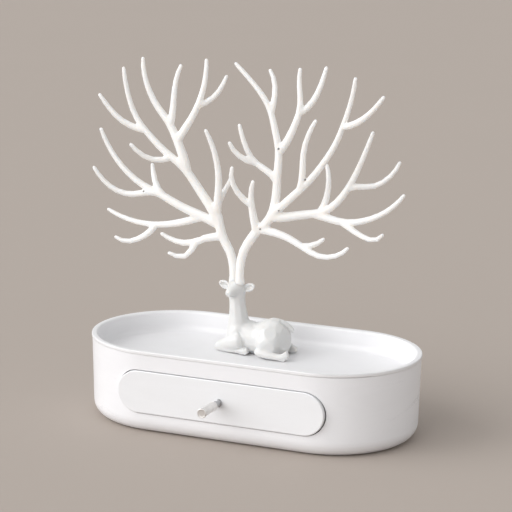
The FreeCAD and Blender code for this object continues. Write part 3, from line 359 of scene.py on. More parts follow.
def closed_foam(name, colour, dark):
    """Closed-cell foam: small cells under a matt skin. The hollows of the cells are painted darker, as shade
    in them, and a random cloud varies the tone.
    """
    made, tree, surface, where = blank_finish(name)
    cells = add_node(tree, "ShaderNodeTexVoronoi", inputs={"Vector": where, "Scale": 1500.0})
    cloud = noise(tree, where, 350.0, 4.0, 0.6)
    pit = ranged(tree, cells.outputs["Distance"], 0.0, 0.6, 0.0, 1.0)
    # painted shade: the colour is darker in the hollows of the cells, where the bump is lowest; the random
    # cloud varies it too
    feed(tree, tinted(tree, product(tree, pit, cloud), dark, colour), surface["Base Color"])
    feed(tree, ranged(tree, cloud, 0.3, 0.7, 0.8, 0.95), surface["Roughness"])
    emboss(tree, surface, pit, 0.12 * MM)
    spread_out(tree)
    return made


# the name of the mask where shade is painted inside the gate marks
PIT_SHADE = "gate_pit_shade"

shell_plastic = moulded_plastic(
    "shell_plastic", (0.877, 0.879, 0.902), (0.859, 0.86, 0.882), (0.72, 0.71, 0.7), (0.26, 0.34), rub=0.1)
tray_plastic = moulded_plastic(
    "tray_plastic", (0.838, 0.835, 0.848), (0.82, 0.817, 0.83), (0.73, 0.71, 0.7), (0.27, 0.34),
    grain=0.15, sink=0.8)
drawer_plastic = moulded_plastic(
    "drawer_plastic", (0.843, 0.849, 0.868), (0.827, 0.832, 0.85), (0.7, 0.69, 0.68), (0.3, 0.38))
deer_plastic = moulded_plastic(
    "deer_plastic", (0.74, 0.738, 0.73), (0.725, 0.723, 0.715), (0.68, 0.67, 0.65), (0.36, 0.44),
    grain=0.2, edge=0.2 * MM, depth=1.5 * MM)
antler_plastic = moulded_plastic(
    "antler_plastic", (0.9, 0.888, 0.87), (0.88, 0.868, 0.85), (0.72, 0.7, 0.68), (0.28, 0.36),
    grain=0.25, edge=0.2 * MM, depth=5 * MM, pit_shade=PIT_SHADE)
guide_plastic = moulded_plastic(
    "guide_plastic", (0.8, 0.79, 0.78), (0.78, 0.77, 0.76), (0.66, 0.64, 0.62), (0.45, 0.55), grain=0.8)
knob_satin = turned_metal(
    "knob_satin", (0.84, 0.825, 0.81), (0.76, 0.745, 0.73), (0.34, 0.44), 0.22 * MM, 0.008 * MM)
knob_chrome = turned_metal(
    "knob_chrome", (0.5, 0.5, 0.51), (0.42, 0.42, 0.43), (0.08, 0.14), 0.3 * MM, 0.002 * MM)
screw_steel = plated_steel("screw_steel", (0.66, 0.66, 0.67), (0.52, 0.52, 0.54), (0.22, 0.36))
pad_foam = closed_foam("pad_foam", (0.78, 0.775, 0.77), (0.6, 0.595, 0.59))


# Shapes

def new_piece(name, mesh, finish, body, replaced):
    """Adds a visible piece in place of the nodes that it replaces."""
    made = bpy.data.objects.new(name, mesh)
    scene.collection.objects.link(made)
    mesh.materials.clear()
    mesh.materials.append(finish)
    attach(made, body)
    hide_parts(*replaced)


def joined_mesh(node):
    """A copy of a solid's mesh with its loose triangles joined, as vertices and faces."""
    work = bmesh.new()
    work.from_mesh(nodes[node].data)
    bmesh.ops.remove_doubles(work, verts=work.verts, dist=1e-6)
    made = bpy.data.meshes.new(node + "_joined")
    work.verts.ensure_lookup_table()
    made.from_pydata([v.co[:] for v in work.verts], [], [[v.index for v in f.verts] for f in work.faces])
    work.free()
    return made


def grown_mesh(made, name):
    """The mesh that an object's modifiers give, without the object."""
    mesh = bpy.data.meshes.new_from_object(made.evaluated_get(bpy.context.evaluated_depsgraph_get()))
    mesh.name = name
    bpy.data.objects.remove(made)
    return mesh


def even_skin(mesh, name, cell):
    """The same form with an even skin of small faces, without inner walls or creases."""
    made = bpy.data.objects.new(name + "_even", mesh)
    scene.collection.objects.link(made)
    skin = made.modifiers.new("even", "REMESH")
    skin.mode, skin.voxel_size, skin.use_smooth_shade = "VOXEL", cell, True
    return grown_mesh(made, name)


class Skin:
    """A mesh's points and links, for working its form by hand."""

    def __init__(self, mesh):
        self.mesh = mesh
        count = len(mesh.vertices)
        self.points = np.empty(count * 3, np.float64)
        mesh.vertices.foreach_get("co", self.points)
        self.points = self.points.reshape(-1, 3)
        ends = np.empty(len(mesh.edges) * 2, np.int64)
        mesh.edges.foreach_get("vertices", ends)
        ends = ends.reshape(-1, 2)
        self.start = np.concatenate((ends[:, 0], ends[:, 1]))
        self.end = np.concatenate((ends[:, 1], ends[:, 0]))
        self.links = np.maximum(np.bincount(self.start, minlength=count), 1)[:, None]

    def mean(self, values):
        """The mean of each point's neighbours."""
        across = range(values.shape[1])
        sums = [np.bincount(self.start, values[self.end, i], len(values)) for i in across]
        return np.stack(sums, 1) / self.links

    def normals(self):
        self.store()
        made = np.empty(len(self.points) * 3, np.float32)
        self.mesh.vertex_normals.foreach_get("vector", made)
        return made.reshape(-1, 3).astype(np.float64)

    def round_off(self, rounds):
        """Smooths the form and keeps its thickness: a step in, then a slightly longer step out."""
        for _ in range(rounds):
            for step in (0.5, -0.52):
                self.points += step * (self.mean(self.points) - self.points)

    def even_out(self, rounds, where):
        """Takes away flats and ridges up to the width that the rounds reach, and keeps the larger form. Where
        gives each point its share of this."""
        before = self.points.copy()
        for _ in range(rounds):
            self.points += 0.5 * (self.mean(self.points) - self.points)
        lost = self.points - before
        for _ in range(rounds):
            lost += 0.5 * (self.mean(lost) - lost)
        self.points = before + (self.points - lost - before) * where(before)[:, None]

    def fill_hollows(self, rounds, where=None):
        """Fills creases outwards, as the webs in the forks, and leaves the crests."""
        for _ in range(rounds):
            normals = self.normals()
            rise = np.einsum("ij,ij->i", self.mean(self.points) - self.points, normals)
            rise = np.maximum(rise, 0) * 0.5
            if where is not None:
                rise *= where(self.points)
            self.points += normals * rise[:, None]

    def regain(self, volume, most, gain=1.0):
        """Moves the skin outwards, by no more than the most, to win back the volume that smoothing took."""
        self.store()
        left, area = volume_of(self.mesh)
        self.points += self.normals() * min(max(volume - left, 0) / area * gain, most)

    def keep_within(self, low, high):
        """Holds the skin inside a box and writes it down."""
        self.points = np.clip(self.points, np.array(low), np.array(high))
        self.store()

    def store(self):
        self.mesh.vertices.foreach_set("co", self.points.astype(np.float32).ravel())
        self.mesh.update()


def volume_of(mesh):
    """A mesh's volume and the area of its faces."""
    work = bmesh.new()
    work.from_mesh(mesh)
    volume, area = work.calc_volume(), sum(face.calc_area() for face in work.faces)
    work.free()
    return volume, area


def finer(work, near):
    """Divides the faces round the near points."""
    edges = {edge for vertex in near for edge in vertex.link_edges}
    bmesh.ops.subdivide_edges(work, edges=list(edges), cuts=1, use_grid_fill=True)


def put_back(work, mesh):
    """Writes the worked form into its mesh, shaded smooth."""
    work.to_mesh(mesh)
    work.free()
    mesh.shade_smooth()
    mesh.update()


def search_tree(mesh):
    return BVHTree.FromPolygons([v.co[:] for v in mesh.vertices], [p.vertices[:] for p in mesh.polygons])


def eased(share):
    """A share from 0 to 1 that starts and ends gently."""
    return share * share * (3 - 2 * share)


def dimple(mesh, points, radius, depth, fine=2.2, outer=1.4, wall_width=0.35, lip_at=1.12, lip_width=0.25,
           lip_height=0.12):
    """Presses a small round mark with a raised lip into a skin at each point. The skin is finer round it, and
    its inside is noted on the skin as a mask, where the colour is painted darker as shade in the pit. The
    other measures are shares of the radius and the depth."""
    work = bmesh.new()
    work.from_mesh(mesh)
    # a mask of where the colour is painted darker, as shade inside each pit
    inside = work.verts.layers.float.new(PIT_SHADE)
    for point in points:
        for _ in range(2):
            finer(work, [vertex for vertex in work.verts if (vertex.co - point).length < radius * fine])
        work.normal_update()
        pressed = [(vertex, (vertex.co - point).length / radius) for vertex in work.verts
                   if (vertex.co - point).length < radius * outer]
        way = sum((vertex.normal for vertex, _ in pressed), Vector()).normalized()
        for vertex, share in pressed:
            wall = min(max((1 - share) / wall_width, 0), 1)
            lip = max(1 - abs(share - lip_at) / lip_width, 0)
            vertex[inside] = wall
            vertex.co += way * (lip_height * lip - eased(wall)) * depth
    put_back(work, mesh)


def on_front(tree, x, z):
    """The point where a line from in front, level and square to the drawer, meets the form."""
    return tree.ray_cast(Vector((x, -0.2, z)), Vector((0, 1, 0)))[0]


# where the melt was let into each antler: at the middles of its forks, as x and z in mm
GATE_MARKS = {
    "antler_left": ((-103.5, 170.3),),
    "antler_right": ((12.8, 165.2), (-2.9, 149.4), (35, 191.9), (10.3, 212.6)),
}
GATE_RADIUS, GATE_DEPTH = 1.0 * MM, 0.9 * MM
# the size of the faces that the antlers and the deer are worked in
ANTLER_CELL, DEER_CELL = 0.58 * MM, 0.46 * MM


def make_antler(node):
    """An antler with rounded limbs, webs in its forks and its gate marks."""
    solid = joined_mesh(node)
    volume, _ = volume_of(solid)
    skin = Skin(even_skin(solid, node + "_skin", ANTLER_CELL))
    skin.round_off(12)
    skin.fill_hollows(60)
    skin.round_off(6)
    skin.regain(volume, 0.3 * MM, 1.1)
    skin.keep_within(*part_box(node))
    tree = search_tree(skin.mesh)
    found = [on_front(tree, x * MM, z * MM) for x, z in GATE_MARKS[node]]
    dimple(skin.mesh, [point for point in found if point], GATE_RADIUS, GATE_DEPTH)
    new_piece(node + "_branches", skin.mesh, antler_plastic, "stand", [node])


def groove(mesh, lines, steps=6, broad=0.8 * MM):
    """Presses soft lines into a skin, with a finer skin along them. A line is (points, width, depth), and
    lies on the skin in steps between its points. A broad one needs a less fine skin."""
    tree = search_tree(mesh)
    work = bmesh.new()
    work.from_mesh(mesh)
    for points, width, depth in lines:
        path = []
        for one, two in zip(points, points[1:]):
            path += [tree.find_nearest(one.lerp(two, i / steps))[0] for i in range(steps)]
        path.append(tree.find_nearest(points[-1])[0])

        def nearest(spot):
            """How far the spot is from the line, and how far along it as a share."""
            found = []
            for i, (one, two) in enumerate(zip(path, path[1:])):
                run = two - one
                t = min(max((spot - one).dot(run) / max(run.length_squared, 1e-12), 0), 1)
                found.append(((spot - one - run * t).length, (i + t) / (len(path) - 1)))
            return min(found)

        middle = sum(path, Vector()) / len(path)
        reach = max((point - middle).length for point in path) + width * 2
        for _ in range(1 if width > broad else 2):
            about = [v for v in work.verts if (v.co - middle).length < reach]
            finer(work, [v for v in about if nearest(v.co)[0] < width * 1.3])
        work.normal_update()
        for vertex in [v for v in work.verts if (v.co - middle).length < reach]:
            away, share = nearest(vertex.co)
            if away < width:
                taper = min(1, 4 * share, 4 * (1 - share)) ** 0.5
                vertex.co -= vertex.normal * depth * taper * (1 - (away / width) ** 2) ** 2
    put_back(work, mesh)


# the deer's own measures, in mm from the middle of its seat in the tray
DEER_SEAT = Vector((0, 22, 49))
NEAR_HIND_HOOF = (
    (19.2, -17.6, 0.5), (19.2, -13, 0.5), (22.6, -18, 0.3), (22.6, -12.6, 0.3), (25.8, -16.8, 4.8),
    (25.8, -13, 4.8), (23.8, -16.4, 8.4), (23.8, -13.4, 8.4), (19.6, -16.6, 5.6), (19.6, -13.6, 5.6))
FAR_HIND_HOOF = (
    (13, 8, 0.3), (14, 15, 0.3), (19.6, 8.8, 0.3), (20.4, 14, 0.3), (22.8, 9.2, 2.4),
    (23, 11.8, 2.4), (21.4, 9.4, 4.8), (21.8, 11.6, 4.8), (15.2, 8.6, 8.6), (15.8, 12.6, 8))
HOCK = (
    (3, -14.5, 0.6), (15.5, -14, 0.6), (3, -8, 0.6), (15.5, -8, 0.6),
    (6, -14.4, 8), (14, -13.4, 8.4), (6, -8, 8), (14.6, -8, 8.4))
FORE_HOOF = (
    (-16.4, -13.4, 0.6), (-16.4, -9.8, 0.6), (-11, -13.8, 1), (-11, -9.2, 1), (-9.6, -13.2, 2.6),
    (-9.6, -9.8, 2.6), (-10.8, -12.8, 6), (-10.8, -10.2, 6), (-16, -12.6, 5.4), (-16, -10, 5.4))
# the collars that the antlers stand in: the middle of each, and what they measure
COLLARS = ((-27.6, -0.4, 52.6), (-21.2, -3.6, 53))
COLLAR_FOOT, COLLAR_TOP, COLLAR_HEIGHT = 3.7 * MM, 3.2 * MM, 7 * MM
EARS = (((-27.6, -2, 49.6), (-38.9, -2.5, 54.2)), ((-20.6, -2, 48.8), (-9.2, -2, 54.2)))
EAR_HOLLOWS = (((-30.2, -3.4, 50.5), (-34, -3.6, 52.1), (-37.2, -3.7, 53.4)),
               ((-18.2, -3.2, 49.9), (-14, -3.2, 51.8), (-10.8, -3.2, 53.3)))
# forms that keep their edges: a line through each, and how far it reaches
CRISP_FORMS = (
    ((11, 1, 27.5), (22, 4.4, 18.9), 3.0), ((18, -15.4, 3), (27, -15, 6), 5.0),
    ((15, 13, 3), (24, 10.8, 4.4), 4.2), ((-17, -11.2, 3), (-9, -11.4, 4), 3.4),
    ((-17, 11.2, 3), (-9, 11.4, 4), 3.4), ((-25.2, -12, 48), (-25.3, -16, 47.5), 2.6))
# the flats: a point on each, the way it faces, and the part that it flattens, as its lowest and highest
# corner and how far in from its sides it fades. Their edges are rounded over the width of FLAT_EDGE
HINDQUARTERS = ((-8, -30, 6), (40, 30, 60), 2.5)
THROAT = ((-46, -36, 21.5), (-7, 36, 45), 8)
FLATS = (
    ((14.9, -13, 18), (0.95, -0.29, 0.09), HINDQUARTERS), ((6, -17.6, 10), (0.22, -0.95, -0.2), HINDQUARTERS),
    ((2, -15.8, 17), (-0.34, -0.86, 0.38), HINDQUARTERS), ((8, -13.6, 21), (0.3, -0.72, 0.62), HINDQUARTERS),
    ((-16.5, -4.7, 27), (0.87, -0.5, 0.116), THROAT), ((-20.2, -7.9, 27), (0.34, -0.94, 0.061), THROAT),
    ((-25, -7.9, 27), (-0.34, -0.94, 0.013), THROAT))
FLAT_EDGE = 0.3 * MM
# the lines pressed into the figure
ELBOW = ((-12.6, -13, 4.6), (-12.9, -13, 9), (-14, -13, 13.5), (-16.6, -12.6, 17.4), (-20, -11.8, 20))
THIGH = ((6.5, -11, 26.6), (2.6, -13.4, 22.6), (0.4, -14.4, 17), (0, -15, 11.5), (1.4, -16, 7.6))
TAIL_EDGE = ((10.5, -1.6, 26), (14.2, -0.8, 23.6), (17.6, 0.6, 20.6), (19.8, 2.2, 17.8))
MOUTH = (
    (-28.2, -11.6, 47), (-26.8, -14.4, 46.5), (-25.2, -15.6, 46.3), (-23.6, -14.2, 46.6), (-22.4, -11.4, 47))
NEAR_EYE = ((-30.9, -5.4, 50.9), (-30.6, -6.8, 50.2), (-29.8, -8.2, 50))
FAR_EYE = ((-18.4, -5, 50.9), (-18.8, -6.4, 50.2), (-19.8, -7.9, 50))
NOSTRILS = (((-26.9, -14.6, 48.3), (-26.4, -15.2, 48.9)), ((-23.7, -14.6, 48.3), (-24.2, -15.2, 48.9)))
CLEFTS = (((24.2, -15.1, 1.8), (25.8, -15, 4.6), (24.8, -15, 7), (23.2, -15, 8.2)),
          ((21.6, 10.6, 1.4), (22.9, 10.5, 2.6), (22, 10.5, 4.2), (20.4, 10.6, 5.2)),
          ((-10.2, -11.5, 1.2), (-9.4, -11.5, 2.8), (-10, -11.5, 4.8), (-11.4, -11.5, 6.2)),
          ((-10.2, 11.5, 1.2), (-9.4, 11.5, 2.8), (-10, 11.5, 4.8), (-11.4, 11.5, 6.2)))
# each line with its width and depth in mm, in the order in which they are pressed
LINES = (
    (ELBOW, 1.3, 0.55), (THIGH, 1.5, 0.3), (TAIL_EDGE, 1.0, 1.3), (MOUTH, 0.42, 0.3), (NEAR_EYE, 0.5, 0.32),
    (FAR_EYE, 0.5, 0.32), *((hollow, 1.9, 0.6) for hollow in EAR_HOLLOWS),
    *((nostril, 0.42, 0.35) for nostril in NOSTRILS), *((cleft, 0.55, 0.45) for cleft in CLEFTS))
# how far the muzzle turns to the left above a height, from a line across the head forwards
MUZZLE_TURN, MUZZLE_ABOVE, MUZZLE_LINE, MUZZLE_FADE = 0.9 * MM, 90 * MM, 15 * MM, 7 * MM


def on_deer(point):
    """A point of the deer's own measures, in the frame."""
    return (DEER_SEAT + Vector(point)) * MM


def deer_form():
    """The deer's solid with its hooves, its hock and the collars round its antlers, as shells that the even
    skin joins."""
    work = bmesh.new()
    work.from_mesh(joined_mesh("deer_body"))
    far_fore = [(x, -y, z) for x, y, z in FORE_HOOF]
    for corners in (NEAR_HIND_HOOF, FAR_HIND_HOOF, HOCK, FORE_HOOF, far_fore):
        shell = bmesh.ops.convex_hull(work, input=[work.verts.new(on_deer(corner)) for corner in corners])
        faces = [face for face in shell["geom"] if isinstance(face, bmesh.types.BMFace)]
        bmesh.ops.recalc_face_normals(work, faces=faces)
    for middle in COLLARS:
        bmesh.ops.create_cone(work, cap_ends=True, segments=32, radius1=COLLAR_FOOT, radius2=COLLAR_TOP,
                              depth=COLLAR_HEIGHT, matrix=Matrix.Translation(on_deer(middle)))
    made = bpy.data.meshes.new("deer_form")
    work.to_mesh(made)
    work.free()
    return made


def make_deer():
    """The lying deer: rounded, flattened here and there, with its face, ears and clefts."""
    volume, _ = volume_of(joined_mesh("deer_body"))
    skin = Skin(even_skin(deer_form(), "deer_skin", DEER_CELL))

    def on_ears(points, lowest, half, middle=20 * MM):
        """True on the slice of the head that the ears are in."""
        return (points[:, 2] > lowest) * (np.abs(points[:, 1] - middle) < half)

    def ear_places(points):
        """For each ear: how far along it each point is, how far across, and the way that is across."""
        for base, tip in EARS:
            start, end = np.array(on_deer(base)), np.array(on_deer(tip))
            along = (end - start) / np.linalg.norm(end - start)
            up = np.array((-along[2], 0, along[0]))
            yield (points - start) @ along / np.linalg.norm(end - start), (points - start) @ up, up

    def plain(points):
        """1 on the rounded forms and 0 on those that keep their edges."""
        weight = np.ones(len(points))
        for one, two, reach in CRISP_FORMS:
            start, run = np.array(on_deer(one)), np.array(on_deer(two)) - np.array(on_deer(one))
            share = np.clip((points - start) @ run / (run @ run), 0, 1)
            away = np.linalg.norm(points - start - share[:, None] * run, axis=1)
            weight = np.minimum(weight, np.clip(away / MM - reach, 0, 1.5) / 1.5)
        on_ear = on_ears(points, 95.5 * MM, 3.6 * MM)
        for along, _, _ in ear_places(points):
            weight = np.minimum(weight, 1 - np.clip((along - 0.22) / 0.12, 0, 1) * on_ear)
        return weight

    skin.round_off(8)
    skin.even_out(34, where=plain)
    skin.fill_hollows(10, where=plain)
    skin.even_out(16, where=plain)
    for point, way, (start, end, fade) in FLATS:
        way = np.array(way) / np.linalg.norm(way)
        over = (skin.points - np.array(on_deer(point))) @ way
        lowest, highest = np.array(on_deer(start)), np.array(on_deer(end))
        inward = np.minimum(skin.points - lowest, highest - skin.points).min(1)
        part = plain(skin.points) * np.clip(inward / (fade * MM), 0, 1)
        blend = np.clip(over + FLAT_EDGE, 0, None) ** 2 / (4 * FLAT_EDGE)
        skin.points -= (np.where(over > FLAT_EDGE, over, blend) * part)[:, None] * way
    for along, across, up in list(ear_places(skin.points)):
        widen = 0.26 * np.clip((along - 0.25) / 0.3, 0, 1) * on_ears(skin.points, 95 * MM, 4 * MM)
        skin.points += (widen * across)[:, None] * up
    skin.regain(volume, 0.2 * MM)
    skin.store()
    groove(skin.mesh, [([on_deer(point) for point in line], width * MM, depth * MM)
                       for line, width, depth in LINES])
    skin = Skin(skin.mesh)
    forward = np.clip((MUZZLE_LINE - skin.points[:, 1]) / MUZZLE_FADE, 0, 1)
    skin.points[:, 0] -= MUZZLE_TURN * eased(forward * (skin.points[:, 2] > MUZZLE_ABOVE))
    skin.keep_within(*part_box("deer_body"))
    new_piece("deer_figure", skin.mesh, deer_plastic, "stand", ["deer_body"])


def loose_parts(node):
    """The box of each separate part of a solid, as its lowest and highest corner."""
    work = bmesh.new()
    work.from_mesh(joined_mesh(node))
    left, found = set(work.verts), []
    while left:
        start = left.pop()
        part, edge = [start], [start]
        while edge:
            for link in edge.pop().link_edges:
                for other in link.verts:
                    if other in left:
                        left.discard(other)
                        part.append(other)
                        edge.append(other)
        corners = np.array([vertex.co[:] for vertex in part])
        found.append((Vector(corners.min(0)), Vector(corners.max(0))))
    work.free()
    return sorted(found, key=lambda box: box[0][:])


def closed_mesh(mesh, sharp_at=0.6):
    """The mesh with its seams joined, its faces outwards and its sharp edges marked."""
    work = bmesh.new()
    work.from_mesh(mesh)
    bmesh.ops.remove_doubles(work, verts=work.verts, dist=1e-7)
    bmesh.ops.recalc_face_normals(work, faces=work.faces)
    put_back(work, mesh)
    mesh.set_sharp_from_angle(angle=sharp_at)
    return mesh


def placed(tree, geometry, x, y, z):
    """The geometry with each point at a place that is worked out from its own."""
    joined = add_node(tree, "ShaderNodeCombineXYZ", inputs={0: x, 1: y, 2: z}).outputs[0]
    return add_node(tree, "GeometryNodeSetPosition", inputs={0: geometry, "Position": joined}).outputs[0]


def place_of(tree):
    """The point's own place: across in x and y, and along its axis."""
    place = add_node(tree, "GeometryNodeInputPosition")
    return add_node(tree, "ShaderNodeSeparateXYZ", inputs={0: place.outputs[0]}).outputs


def distance(tree, x, y):
    return maths(tree, "SQRT", total(tree, product(tree, x, x), product(tree, y, y)))


def rounded_square(tree, across, up, power, size):
    """How far a circle's point has to move out to lie on a square with rounded corners."""
    both = total(tree, maths(tree, "POWER", across, power), maths(tree, "POWER", up, power))
    return maths(tree, "DIVIDE", size, maths(tree, "POWER", both, maths(tree, "DIVIDE", 1.0, power)))


def part_group(name, *sizes):
    """A group that puts small parts on the spots that it is given, by their sizes, turn and finish."""
    return new_group(name, "GeometryNodeTree", [
        ("Spots", "geometry", None), *((label, "value", size) for label, size in sizes),
        ("Turn", "vector", None), ("Finish", "material", None)], [("Parts", "geometry")])


def set_out(tree, given, out, part):
    """Sets the part on every spot, turned the same way and spun by chance, with its finish."""
    points = add_node(tree, "GeometryNodeMeshToPoints", inputs={0: given["Spots"]})
    laid = add_node(tree, "GeometryNodeInstanceOnPoints", inputs={
        "Points": points.outputs[0], "Instance": part, "Rotation": given["Turn"]})
    chance = add_node(tree, "FunctionNodeRandomValue", data_type="FLOAT", inputs={"Seed": 7, 3: math.pi})
    spin = add_node(tree, "ShaderNodeCombineXYZ", inputs={2: chance.outputs[1]})
    spun = add_node(tree, "GeometryNodeRotateInstances",
                    inputs={0: laid.outputs[0], "Rotation": spin.outputs[0]})
    real = add_node(tree, "GeometryNodeRealizeInstances", inputs={0: spun.outputs[0]})
    dressed = add_node(tree, "GeometryNodeSetMaterial",
                       inputs={"Geometry": real.outputs[0], "Material": given["Finish"]})
    feed(tree, dressed.outputs[0], out[0])
    spread_out(tree)


SCREW_HEAD = 1.8 * MM


def make_screw_tree():
    """Pan-head screws with a cross recess: each head stands on its spot, with the thread above it."""
    tree, given, out = part_group(
        "pan_head_screws", ("Head Radius", 2.8 * MM), ("Head Height", SCREW_HEAD), ("Shank Radius", 1.3 * MM),
        ("Shank Length", 10 * MM), ("Thread Pitch", 0.9 * MM), ("Thread Depth", 0.18),
        ("Recess Reach", 1.6 * MM), ("Recess Width", 0.3 * MM))
    height, reach, width = (given[name] for name in ("Head Height", "Recess Reach", "Recess Width"))
    head = add_node(tree, "GeometryNodeMeshCylinder", fill_type="TRIANGLE_FAN", inputs={
        "Vertices": 64, "Side Segments": 2, "Fill Segments": 16,
        "Radius": given["Head Radius"], "Depth": height})
    x, y, z = place_of(tree)
    share = maths(tree, "DIVIDE", distance(tree, x, y), given["Head Radius"])
    crown = product(tree, maths(tree, "POWER", share, 3.5), 0.5)
    arms = []
    for along, across in ((x, y), (y, x)):
        narrow = ranged(tree, maths(tree, "ABSOLUTE", across), width, product(tree, width, 1.7), 1.0, 0.0)
        short = ranged(tree, maths(tree, "ABSOLUTE", along), product(tree, reach, 0.7), reach, 1.0, 0.0)
        arms.append(product(tree, narrow, short))
    recess = product(tree, maths(tree, "MAXIMUM", *arms), 0.6)
    outside = maths(tree, "LESS_THAN", z, product(tree, height, -0.49))
    lift = product(tree, total(tree, crown, recess), height, outside)
    level = total(tree, z, lift, product(tree, height, 0.5))
    head_part = placed(tree, head.outputs["Mesh"], x, y, level)

    length = given["Shank Length"]
    shank = add_node(tree, "GeometryNodeMeshCylinder", fill_type="TRIANGLE_FAN", inputs={
        "Vertices": 20, "Side Segments": 66, "Fill Segments": 1,
        "Radius": given["Shank Radius"], "Depth": length})
    x, y, z = place_of(tree)
    along = total(tree, z, product(tree, length, 0.5))
    wound = maths(tree, "SUBTRACT", maths(tree, "DIVIDE", along, given["Thread Pitch"]),
                  maths(tree, "DIVIDE", maths(tree, "ARCTAN2", y, x), 2 * math.pi))
    wave = maths(tree, "SUBTRACT", product(tree, maths(tree, "FRACT", wound), 2.0), 1.0)
    flank = maths(tree, "ABSOLUTE", wave)
    root = maths(tree, "SUBTRACT", 1.0, product(tree, flank, given["Thread Depth"]))
    point = ranged(tree, along, product(tree, length, 0.82), length, 1.0, 0.3)
    narrowed = product(tree, root, point)
    shank_part = placed(tree, shank.outputs["Mesh"], product(tree, x, narrowed),
                        product(tree, y, narrowed), total(tree, along, height))
    both = add_node(tree, "GeometryNodeJoinGeometry", inputs={0: head_part})
    feed(tree, shank_part, both.inputs[0])
    set_out(tree, given, out, both.outputs[0])
    return tree


def make_pad_tree():
    """Round pads with soft edges, each with the middle of its lower face on its spot."""
    tree, given, out = part_group(
        "round_pads", ("Radius", 6 * MM), ("Thickness", 1.2 * MM), ("Squareness", 9.0), ("Rim Lip", 0.06))
    ball = add_node(tree, "GeometryNodeMeshUVSphere", inputs={"Segments": 48, "Rings": 40, "Radius": 1.0})
    x, y, z = place_of(tree)
    ring = distance(tree, x, y)
    out_to = rounded_square(tree, ring, maths(tree, "ABSOLUTE", z), given["Squareness"], 1.0)
    wide = product(tree, out_to, given["Radius"])
    reach = product(tree, ring, out_to)
    inward = maths(tree, "SUBTRACT", 1.0, maths(tree, "POWER", reach, 6.0))
    dished = maths(tree, "SUBTRACT", 1.0, product(tree, given["Rim Lip"], inward))
    half = product(tree, given["Thickness"], 0.5)
    high = product(tree, z, out_to, half, dished)
    part = placed(tree, ball.outputs["Mesh"], product(tree, x, wide), product(tree, y, wide),
                  total(tree, high, half))
    set_out(tree, given, out, part)
    return tree


def make_washer_tree():
    """Washers with rolled edges, each with the middle of its lower face on its spot."""
    tree, given, out = part_group(
        "rolled_washers", ("Radius", 4 * MM), ("Hole Radius", 1.5 * MM), ("Thickness", 0.8 * MM),
        ("Squareness", 5.0))
    sheet = add_node(tree, "GeometryNodeMeshGrid", inputs={
        "Size X": 2 * math.pi, "Size Y": 2 * math.pi, "Vertices X": 65, "Vertices Y": 33})
    turn, roll, _ = place_of(tree)
    across, up = maths(tree, "COSINE", roll), maths(tree, "SINE", roll)
    out_to = rounded_square(tree, maths(tree, "ABSOLUTE", across), maths(tree, "ABSOLUTE", up),
                            given["Squareness"], 0.5)
    outer, inner = given["Radius"], given["Hole Radius"]
    middle = product(tree, total(tree, outer, inner), 0.5)
    wide = product(tree, maths(tree, "SUBTRACT", outer, inner), across, out_to)
    reach = total(tree, middle, wide)
    thick = given["Thickness"]
    high = total(tree, product(tree, thick, up, out_to), product(tree, thick, 0.5))
    part = placed(tree, sheet.outputs["Mesh"], product(tree, maths(tree, "COSINE", turn), reach),
                  product(tree, maths(tree, "SINE", turn), reach), high)
    closed = add_node(tree, "GeometryNodeMergeByDistance", inputs={0: part, "Distance": 0.001 * MM})
    set_out(tree, given, out, closed.outputs[0])
    return tree


def set_parts(name, tree, node, body, finish, slot, way, **sizes):
    """Puts a tree's part in the place of each part of a node, along the way +Z, -Z or -Y."""
    turn = {"+Z": (0, 0, 0), "-Z": (math.pi, 0, 0), "-Y": (math.pi / 2, 0, 0)}[way]
    spots = []
    for low, high in loose_parts(node):
        spot = (low + high) / 2
        axis = "XYZ".index(way[1])
        spot[axis] = low[axis] if way[0] == "+" else high[axis]
        spots.append(spot[:])
    seed = bpy.data.meshes.new(name + "_spots")
    seed.from_pydata(spots, [], [])
    holder = bpy.data.objects.new(name + "_spots", seed)
    scene.collection.objects.link(holder)
    grown = holder.modifiers.new("grown", "NODES")
    grown.node_group = tree
    labels = {item.name: item.identifier for item in tree.interface.items_tree if item.in_out == "INPUT"}
    for label, value in sizes.items():
        grown[labels[label.replace("_", " ")]] = value
    grown[labels["Turn"]] = turn
    grown[labels["Finish"]] = finish
    new_piece(name, closed_mesh(grown_mesh(holder, name)), finish, body, [node])


def sides_of(node):
    """The sides of the box of a node's first part, the shortest first."""
    low, high = loose_parts(node)[0]
    return sorted((high - low)[:])


def make_screws(node, body, way):
    set_parts(node + "_pan_heads", screw_tree, node, body, screw_steel, "screw_steel", way,
              Shank_Length=sides_of(node)[2] - SCREW_HEAD)


def make_pads(name, node, way):
    thick, _, across = sides_of(node)
    set_parts(name, pad_tree, node, "stand", pad_foam, "pad_foam", way, Radius=across / 2, Thickness=thick)


def make_washers(name, node, body, way):
    thick, _, across = sides_of(node)
    set_parts(name, washer_tree, node, body, screw_steel, "screw_steel", way,
              Radius=across / 2, Thickness=thick)


def turned_piece(name, profile, node, finish, around=72):
    """A piece turned about the knob's axis. The profile is (y, radius) in mm, from pole to pole."""
    low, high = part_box(node)
    x, z = (low[0] + high[0]) / 2, (low[2] + high[2]) / 2
    points, faces, rings = [], [], []
    for y, radius in profile:
        if radius == 0:
            rings.append([len(points)] * around)
            points.append((x, y * MM, z))
        else:
            rings.append(range(len(points), len(points) + around))
            points += [(x + radius * MM * math.cos(i * 2 * math.pi / around), y * MM,
                        z + radius * MM * math.sin(i * 2 * math.pi / around)) for i in range(around)]
    for one, two in zip(rings, rings[1:]):
        for i in range(around):
            j = (i + 1) % around
            faces.append(list(dict.fromkeys((one[i], one[j], two[j], two[i]))))
    mesh = bpy.data.meshes.new(name)
    mesh.from_pydata(points, [], faces)
    new_piece(name, closed_mesh(mesh, 0.5), finish, "drawer", [node])


